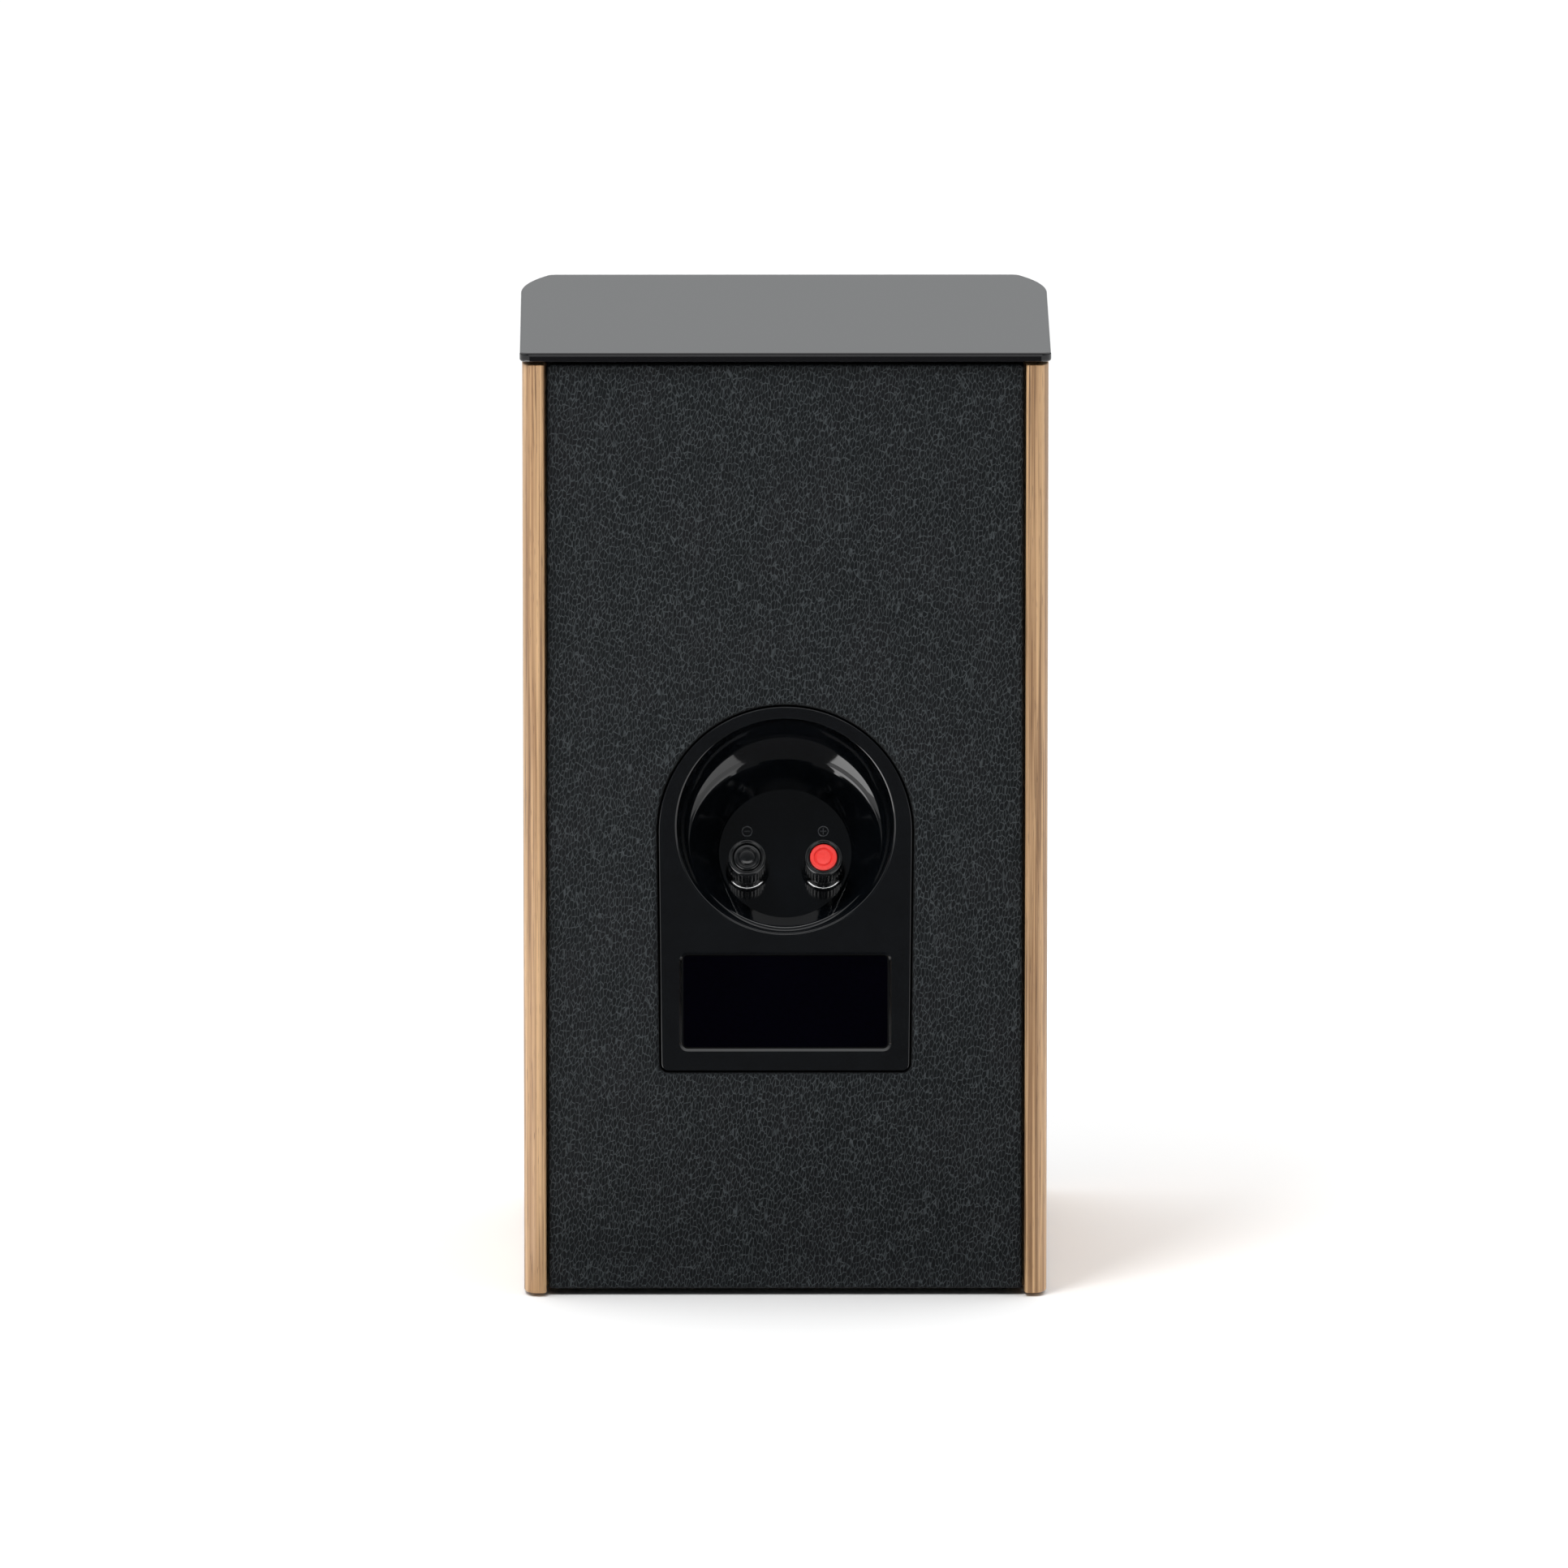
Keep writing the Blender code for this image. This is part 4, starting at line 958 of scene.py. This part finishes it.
def make_stud(polarity, matrix):
    """Threaded stud, drilled for a plug at its outer end."""
    profile = [(0, -12), (3.4, -12), (3.7, -11.6), (3.7, 1.2)]
    steps = 96
    profile += [(3.7, 1.2 + 12 * step / steps) for step in range(1, steps + 1)]
    profile += [(3.7, 13.3), (3.4, 13.5), (2.2, 13.5), (2.2, 6.5), (0, 6.5)]
    points = [(radius * MM, height * MM) for radius, height in profile]
    bm = turned(points, 40, closed=False, radius_at=threaded)
    detail(f"{polarity}_post_stud", bm, "brass", matrix=matrix)


def make_collar(polarity, matrix):
    """A flared collar around the post, notched to its core where a bare wire goes in."""
    rings = []
    for height, radius in COLLAR_LEVELS.items():
        ring = []
        for foot in (90, 270):
            notch = (foot - COLLAR_NOTCH, foot + COLLAR_NOTCH)
            wing = (foot + COLLAR_NOTCH, foot + 180 - COLLAR_NOTCH)
            ring += arc((0, 0), (COLLAR_CORE, COLLAR_CORE), *notch, 16)
            ring += arc((0, 0), (radius, radius), *wing, 16)
        rings.append([(x, y, height) for x, y in ring])
    collar = make_object(f"{polarity}_post_collar_detail", loft(rings), matrix)
    cut(collar, drum(COLLAR_FLANGE, *COLLAR_FLANGE_SPAN, POST_SEGMENTS), matrix, "UNION")
    cut(collar, drum(COLLAR_BORE, 0, 8 * MM, 48), matrix)
    bevel(collar, COLLAR_EDGE, 3)
    finish_piece(collar, "satin_black", nodes=[f"{polarity}_post_collar"])


def make_posts():
    """Both binding posts: on each a chrome ring, a washer, a collar, a knob, a stud and a cap."""
    for polarity, x in (("negative", POST_X), ("positive", -POST_X)):
        matrix = post_matrix(x)
        ring = soften([(4.1, 0.3, 0.1), (8.75, 0.3, 0.4), (8.75, 1.1, 0.4), (4.1, 1.1, 0.1)], True)
        detail(f"{polarity}_post_ring", turned(ring, POST_SEGMENTS), "chrome", matrix=matrix)
        washer = soften([(4.2, 6.5, 0.1), (6.5, 6.5, 0.2), (6.5, 7.5, 0.2), (4.2, 7.5, 0.1)], True)
        detail(f"{polarity}_post_clamp_washer", turned(washer, 64), "brass", f"{polarity}_clamp", matrix)
        make_collar(polarity, matrix)
        make_knob(polarity, matrix)
        make_stud(polarity, matrix)
    make_cap("negative", post_matrix(POST_X), "satin_black")
    make_cap("positive", post_matrix(-POST_X), "red_plastic")


# Drivers


def screw_places(circle, count, start=45):
    """Evenly spaced places on a circle, from an angle in degrees."""
    places = []
    for number in range(count):
        angle = math.radians(start + 360 / count * number)
        places.append((circle * math.cos(angle), circle * math.sin(angle)))
    return places


def make_basket(matrix):
    """Cast basket: a flange with screw seats, and a windowed cone to the magnet's plate."""
    flange = [(74.8, 0.9, 0.3), (75.6, 0.2, 0.3), (82.2, 0.2, 0.6), (83, 1.0, 0.4), (83, 4.7, 0.2)]
    outside = [(75.8, 4.7, 0), (75.8, 8, 0.8), (43.5, 44, 1), (43.5, 49.7, 0.3), (20, 49.7, 0)]
    inside = [(20, 47, 0), (36, 47, 0), (36, 42.4, 0), (41.2, 42.4, 0), (68.2, 11.5, 1)]
    ledge = [(68.2, 5, 0), (74.8, 5, 0)]
    profile = soften(flange + outside + inside + ledge, True)
    basket = make_object("woofer_basket_detail", turned(profile, DRIVER_SEGMENTS), matrix)
    for number in range(BASKET_WINDOWS):
        turn = Matrix.Rotation(math.tau * (number + 0.5) / BASKET_WINDOWS, 4, "Z")
        cut(basket, block(*BASKET_WINDOW), matrix @ turn)
    seat = [(0, -1, 0), (3.4, -1, 0), (3.4, 0.3, 0), (2.2, 1.4, 0), (2.2, 8, 0), (0, 8, 0)]
    for x, y in screw_places(SCREW_CIRCLE, 4):
        hole = turned(soften(seat, False), 32, closed=False)
        cut(basket, hole, matrix @ Matrix.Translation((x, y, 0)))
    finish_piece(basket, "dark_metal", nodes=["woofer_basket"])


def socket_screw(head, rise, shank, length):
    """A pan-head screw with a hexagon socket; sizes in millimetres, its head standing proud."""
    profile = [(0, -rise, 0), (head * 0.75, -rise, 0.3), (head, -rise * 0.45, 0.4), (head, -0.1, 0.1)]
    profile += [(shank, -0.1, 0.1), (shank, length - 0.8, 0.3), (0, length, 0)]
    return turned(soften(profile, False), 40, closed=False)


def add_screw(node, matrix, sizes):
    """A screw in place of its CAD node, with a hexagon socket cut in its head."""
    screw = make_object(f"{node}_detail", socket_screw(*sizes), matrix)
    head, rise = sizes[0] * MM, sizes[1] * MM
    cut(screw, drum(head * 0.45, -rise - MM, -0.35 * rise, 6), matrix)
    screw.data.set_sharp_from_angle(angle=math.radians(SHARP_ANGLE))
    finish_piece(screw, "dark_metal", nodes=[node])


def make_surround(matrix):
    """Half-roll rubber surround, which stretches between the basket and the cone."""
    lip, centre = 3.7, 65.0
    outside = arc((centre, lip), (4, 4), 180, 360, 20)
    inside = arc((centre, lip), (3.2, 3.2), 360, 180, 20)
    profile = [(58.6, lip), *outside, (74.4, lip), (74.4, lip + 0.9), (centre + 3.2, lip + 0.9)]
    profile += [*inside, (centre - 3.2, lip + 0.9), (58.6, lip + 0.9)]
    points = [(radius * MM, height * MM) for radius, height in profile]
    blend_piece("woofer_surround", points, "black_rubber", matrix, 60.5 * MM, 69.5 * MM)


def make_spider(matrix):
    """Corrugated cloth that centres the voice coil."""
    inner, outer, wave, half_wave = 13.6, 40.4, 1.1, 3.0
    top, bottom = [], []
    steps = 90
    for step in range(steps + 1):
        radius = inner + (outer - inner) * step / steps
        fade = min(1, step / 8, (steps - step) / 12)
        height = 40.6 - wave * fade * math.sin((radius - inner) / half_wave * math.pi)
        top.append((radius * MM, (height + 0.2) * MM))
        bottom.append((radius * MM, (height + 0.6) * MM))
    blend_piece("woofer_spider", top + bottom[::-1], "spider_cloth", matrix, 14.5 * MM, 39 * MM)


def blend_piece(node, points, finish, matrix, inner, outer):
    """A turned piece between the cone and the basket; how far each point lies from the outer radius to the
    inner one is worked out but not used.
    """
    piece = make_object(f"{node}_detail", turned(points, DRIVER_SEGMENTS), matrix)
    finish_piece(piece, finish, nodes=[node], rides=False)
    centre = matrix.translation
    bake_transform(piece)
    for vertex in piece.data.vertices:
        away = vertex.co - centre
        share = (outer - math.hypot(away.x, away.z)) / (outer - inner)
        share = min(1, max(0, share))


def cap_face(behind):
    """Half the dust cap's section in millimetres, from its middle out, this far behind its front."""
    points = []
    for step in range(13):
        angle = 0.09 * step
        points.append((16.5 * math.sin(angle), 31.6 + behind - 10.2 * math.cos(angle)))
    return points


def make_woofer():
    matrix = driver_matrix(WOOFER_Z)
    make_basket(matrix)
    make_surround(matrix)
    make_spider(matrix)
    front = [(60.6, 5.0, 0), (57.8, 5.0, 1.2), (50.0, 10.4, 6), (40.0, 16.9, 8), (26, 24.4, 8)]
    neck = [(13.6, 30.2, 0), (13.6, 31.4, 0)]
    back = [(26, 25.6, 8), (40.3, 18.1, 8), (50.4, 11.6, 6), (58.2, 6.2, 1), (60.6, 6.2, 0)]
    cone = turned(soften(front + neck + back, True, 6), DRIVER_SEGMENTS)
    detail("woofer_cone", cone, "cone_fibre", "woofer_moving", matrix)
    points = [(radius * MM, height * MM) for radius, height in cap_face(0) + cap_face(1)[::-1]]
    cap = turned(points, DRIVER_SEGMENTS, closed=False)
    detail("woofer_dust_cap", cap, "cone_fibre", "woofer_moving", matrix)
    for number, (x, y) in enumerate(screw_places(SCREW_CIRCLE, 4)):
        place = matrix @ Matrix.Translation((x, y, 0))
        add_screw(f"woofer_screw_{number + 1}", place, WOOFER_SCREW)


def make_tweeter():
    """Faceplate with a shallow waveguide, and a dome with its half-roll."""
    matrix = driver_matrix(TWEETER_Z)
    waveguide = [(17.4, 7.6, 0.2), (22, 6.2, 3), (30, 3.2, 4), (36, 1.2, 3), (41, 0.2, 2)]
    flange = [(51.2, 0.2, 0.5), (52, 0.9, 0.4), (52, 3.7, 0.1), (37.4, 3.7, 0), (24, 10, 0), (17.4, 10, 0)]
    plate = turned(soften(waveguide + flange, True, 6), DRIVER_SEGMENTS)
    detail("tweeter_faceplate", plate, "satin_black", matrix=matrix)
    front = [(0, 5.4, 0), (4.5, 5.7, 3), (8.6, 6.9, 3), (11.4, 8.6, 1.5), (12.6, 9.7, 0.3)]
    roll = [(13.7, 8.6, 1), (15.4, 8.6, 1), (16.9, 10.3, 0), (16.9, 10.9, 0), (14.8, 9.3, 1)]
    back = [(12.6, 10.3, 0.3), (10.6, 8.9, 1.5), (6.2, 6.9, 3), (0, 6, 0)]
    dome = turned(soften(front + roll + back, False, 6), DRIVER_SEGMENTS, closed=False)
    detail("tweeter_dome", dome, "dome_fabric", "tweeter_moving", matrix)


def make_port():
    """Flared port tube with a flange in the baffle."""
    flare = [(radius, depth, 0) for radius, depth in arc((34, 10.2), (10, 10), 270, 180, 16)]
    tube = [(24, 111.4, 0), (24.6, 112, 0.3), (26.4, 112, 0.3), (26.4, 12, 0)]
    flange = [(30.4, 3.7, 0), (36, 3.7, 0.1), (36, 0.6, 0.3), (35.4, 0.2, 0.3)]
    bm = turned(soften(flare + tube + flange, True), DRIVER_SEGMENTS)
    detail("port_tube", bm, "satin_black", matrix=driver_matrix(PORT_Z))


def refinish_nodes():
    """Carried-over CAD nodes take the finish their slot is named for."""
    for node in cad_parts.values():
        for slot in node.material_slots:
            finish = slot.material.name.split(".")[0]
            slot.link = "OBJECT"
            slot.material = MATERIALS[finish]


# Studio


def flat_sheet(corners):
    bm = bmesh.new()
    bm.faces.new([bm.verts.new(corner) for corner in corners])
    return bm


def make_floor():
    """A wide, pale, matt floor that runs to the horizon."""
    half = GROUND_HALF
    corners = [(-half, -half, 0), (half, -half, 0), (half, half, 0), (-half, half, 0)]
    floor = make_object("floor", flat_sheet(corners))
    made = bpy.data.materials.new("pale_floor")
    made.use_nodes = True
    tree = made.node_tree
    shader = tree.nodes["Principled BSDF"]
    tone = colour_between(tree, noise(tree, (3, 3, 3), 2.0), (0.88, 0.88, 0.88), (0.90, 0.90, 0.90))
    tree.links.new(tone, shader.inputs["Base Color"])
    set_sockets(shader, {"Roughness": 0.9, "Specular IOR Level": 0.1})
    floor.data.materials.append(made)


def make_key():
    """A square softbox behind and above the box, kept out of the gloss."""
    light = bpy.data.lights.new("key_box", "AREA")
    light.shape = "SQUARE"
    light.size = KEY_SIZE
    light.energy = KEY_RADIANCE * math.pi * KEY_SIZE**2
    box = bpy.data.objects.new("key_box", light)
    box.location = KEY_PLACE
    box.rotation_euler = (Vector(KEY_AIM) - Vector(KEY_PLACE)).to_track_quat("-Z", "Y").to_euler()
    box.visible_camera = False
    box.visible_glossy = False
    bpy.context.scene.collection.objects.link(box)


def make_card(name, corners, radiance):
    """A glowing studio card, seen only in glossy surfaces."""
    card = make_object(name, flat_sheet(corners))
    made = bpy.data.materials.new(name)
    made.use_nodes = True
    tree = made.node_tree
    glow = add_node(tree, "ShaderNodeEmission", {"Strength": radiance})
    tree.links.new(glow.outputs["Emission"], tree.nodes["Material Output"].inputs["Surface"])
    card.data.materials.append(made)
    card.visible_camera = False
    card.visible_diffuse = False
    card.visible_shadow = False
    card.visible_transmission = False


def make_cards():
    """On the floor behind the box a dark aisle between two bright cards, and one card up high."""
    near = [(-AISLE_HALF_NEAR, CARD_NEAR, CARD_LIFT), (AISLE_HALF_NEAR, CARD_NEAR, CARD_LIFT)]
    far = [(AISLE_HALF_FAR, AISLE_FAR, CARD_LIFT), (-AISLE_HALF_FAR, AISLE_FAR, CARD_LIFT)]
    make_card("aisle_card", near + far, AISLE_RADIANCE)
    side = [(AISLE_HALF_NEAR, CARD_NEAR), (CARD_SIDE, CARD_NEAR)]
    side += [(CARD_SIDE, CARD_FAR), (AISLE_HALF_AT_CARDS, CARD_FAR)]
    sides = {"left_card": (1, LEFT_CARD_RADIANCE), "right_card": (-1, RIGHT_CARD_RADIANCE)}
    for name, (sign, radiance) in sides.items():
        make_card(name, [(sign * x, y, CARD_LIFT) for x, y in side], radiance)
    half = HIGH_CARD_HALF
    low, high = HIGH_CARD_SPAN
    places = [(-half, low), (half, low), (half, high), (-half, high)]
    make_card("front_card", [(x, HIGH_CARD_Y, z) for x, z in places], HIGH_CARD_RADIANCE)


def make_world():
    """A soft sky: dim near the horizon, bright overhead, and plain white where the camera sees it."""
    world = bpy.data.worlds.new("studio")
    world.use_nodes = True
    tree = world.node_tree
    back = tree.nodes["Background"]
    place = add_node(tree, "ShaderNodeTexCoord")
    axes = add_node(tree, "ShaderNodeSeparateXYZ")
    tree.links.new(place.outputs["Generated"], axes.inputs["Vector"])
    rise = span(tree, axes.outputs["Z"], 0.1, 0.9)
    lit = colour_between(tree, rise, (0.40, 0.41, 0.415), (1.9, 1.9, 1.9))
    behind = span(tree, axes.outputs["Y"], 0.1, 0.8)
    shade = colour_between(tree, behind, lit, (0.08, 0.085, 0.09))
    rays = add_node(tree, "ShaderNodeLightPath")
    seen = colour_between(tree, rays.outputs["Is Camera Ray"], shade, (1.0, 1.0, 1.0))
    tree.links.new(seen, back.inputs["Color"])
    bpy.context.scene.world = world


def make_camera():
    pitch, yaw = math.radians(CAMERA_PITCH), math.radians(CAMERA_YAW)
    level = math.cos(pitch)
    back = Vector((math.sin(yaw) * level, math.cos(yaw) * level, math.sin(pitch)))
    camera = bpy.data.objects.new("camera", bpy.data.cameras.new("camera"))
    camera.data.lens = CAMERA_LENS
    camera.data.sensor_width = 36
    camera.data.clip_end = 60
    camera.location = CAMERA_AIM + back * CAMERA_DISTANCE
    camera.rotation_euler = (-back).to_track_quat("-Z", "Y").to_euler()
    bpy.context.scene.collection.objects.link(camera)
    bpy.context.scene.camera = camera


def make_studio():
    make_camera()
    make_world()
    make_floor()
    make_cards()
    make_key()
    bpy.context.scene.view_settings.view_transform = "Standard"


make_materials()
make_cabinet()
make_feet()
make_rear_panel()
make_baffle()
make_terminal_plate()
make_label()
make_marks()
make_posts()
make_woofer()
make_tweeter()
make_port()
refinish_nodes()
make_studio()
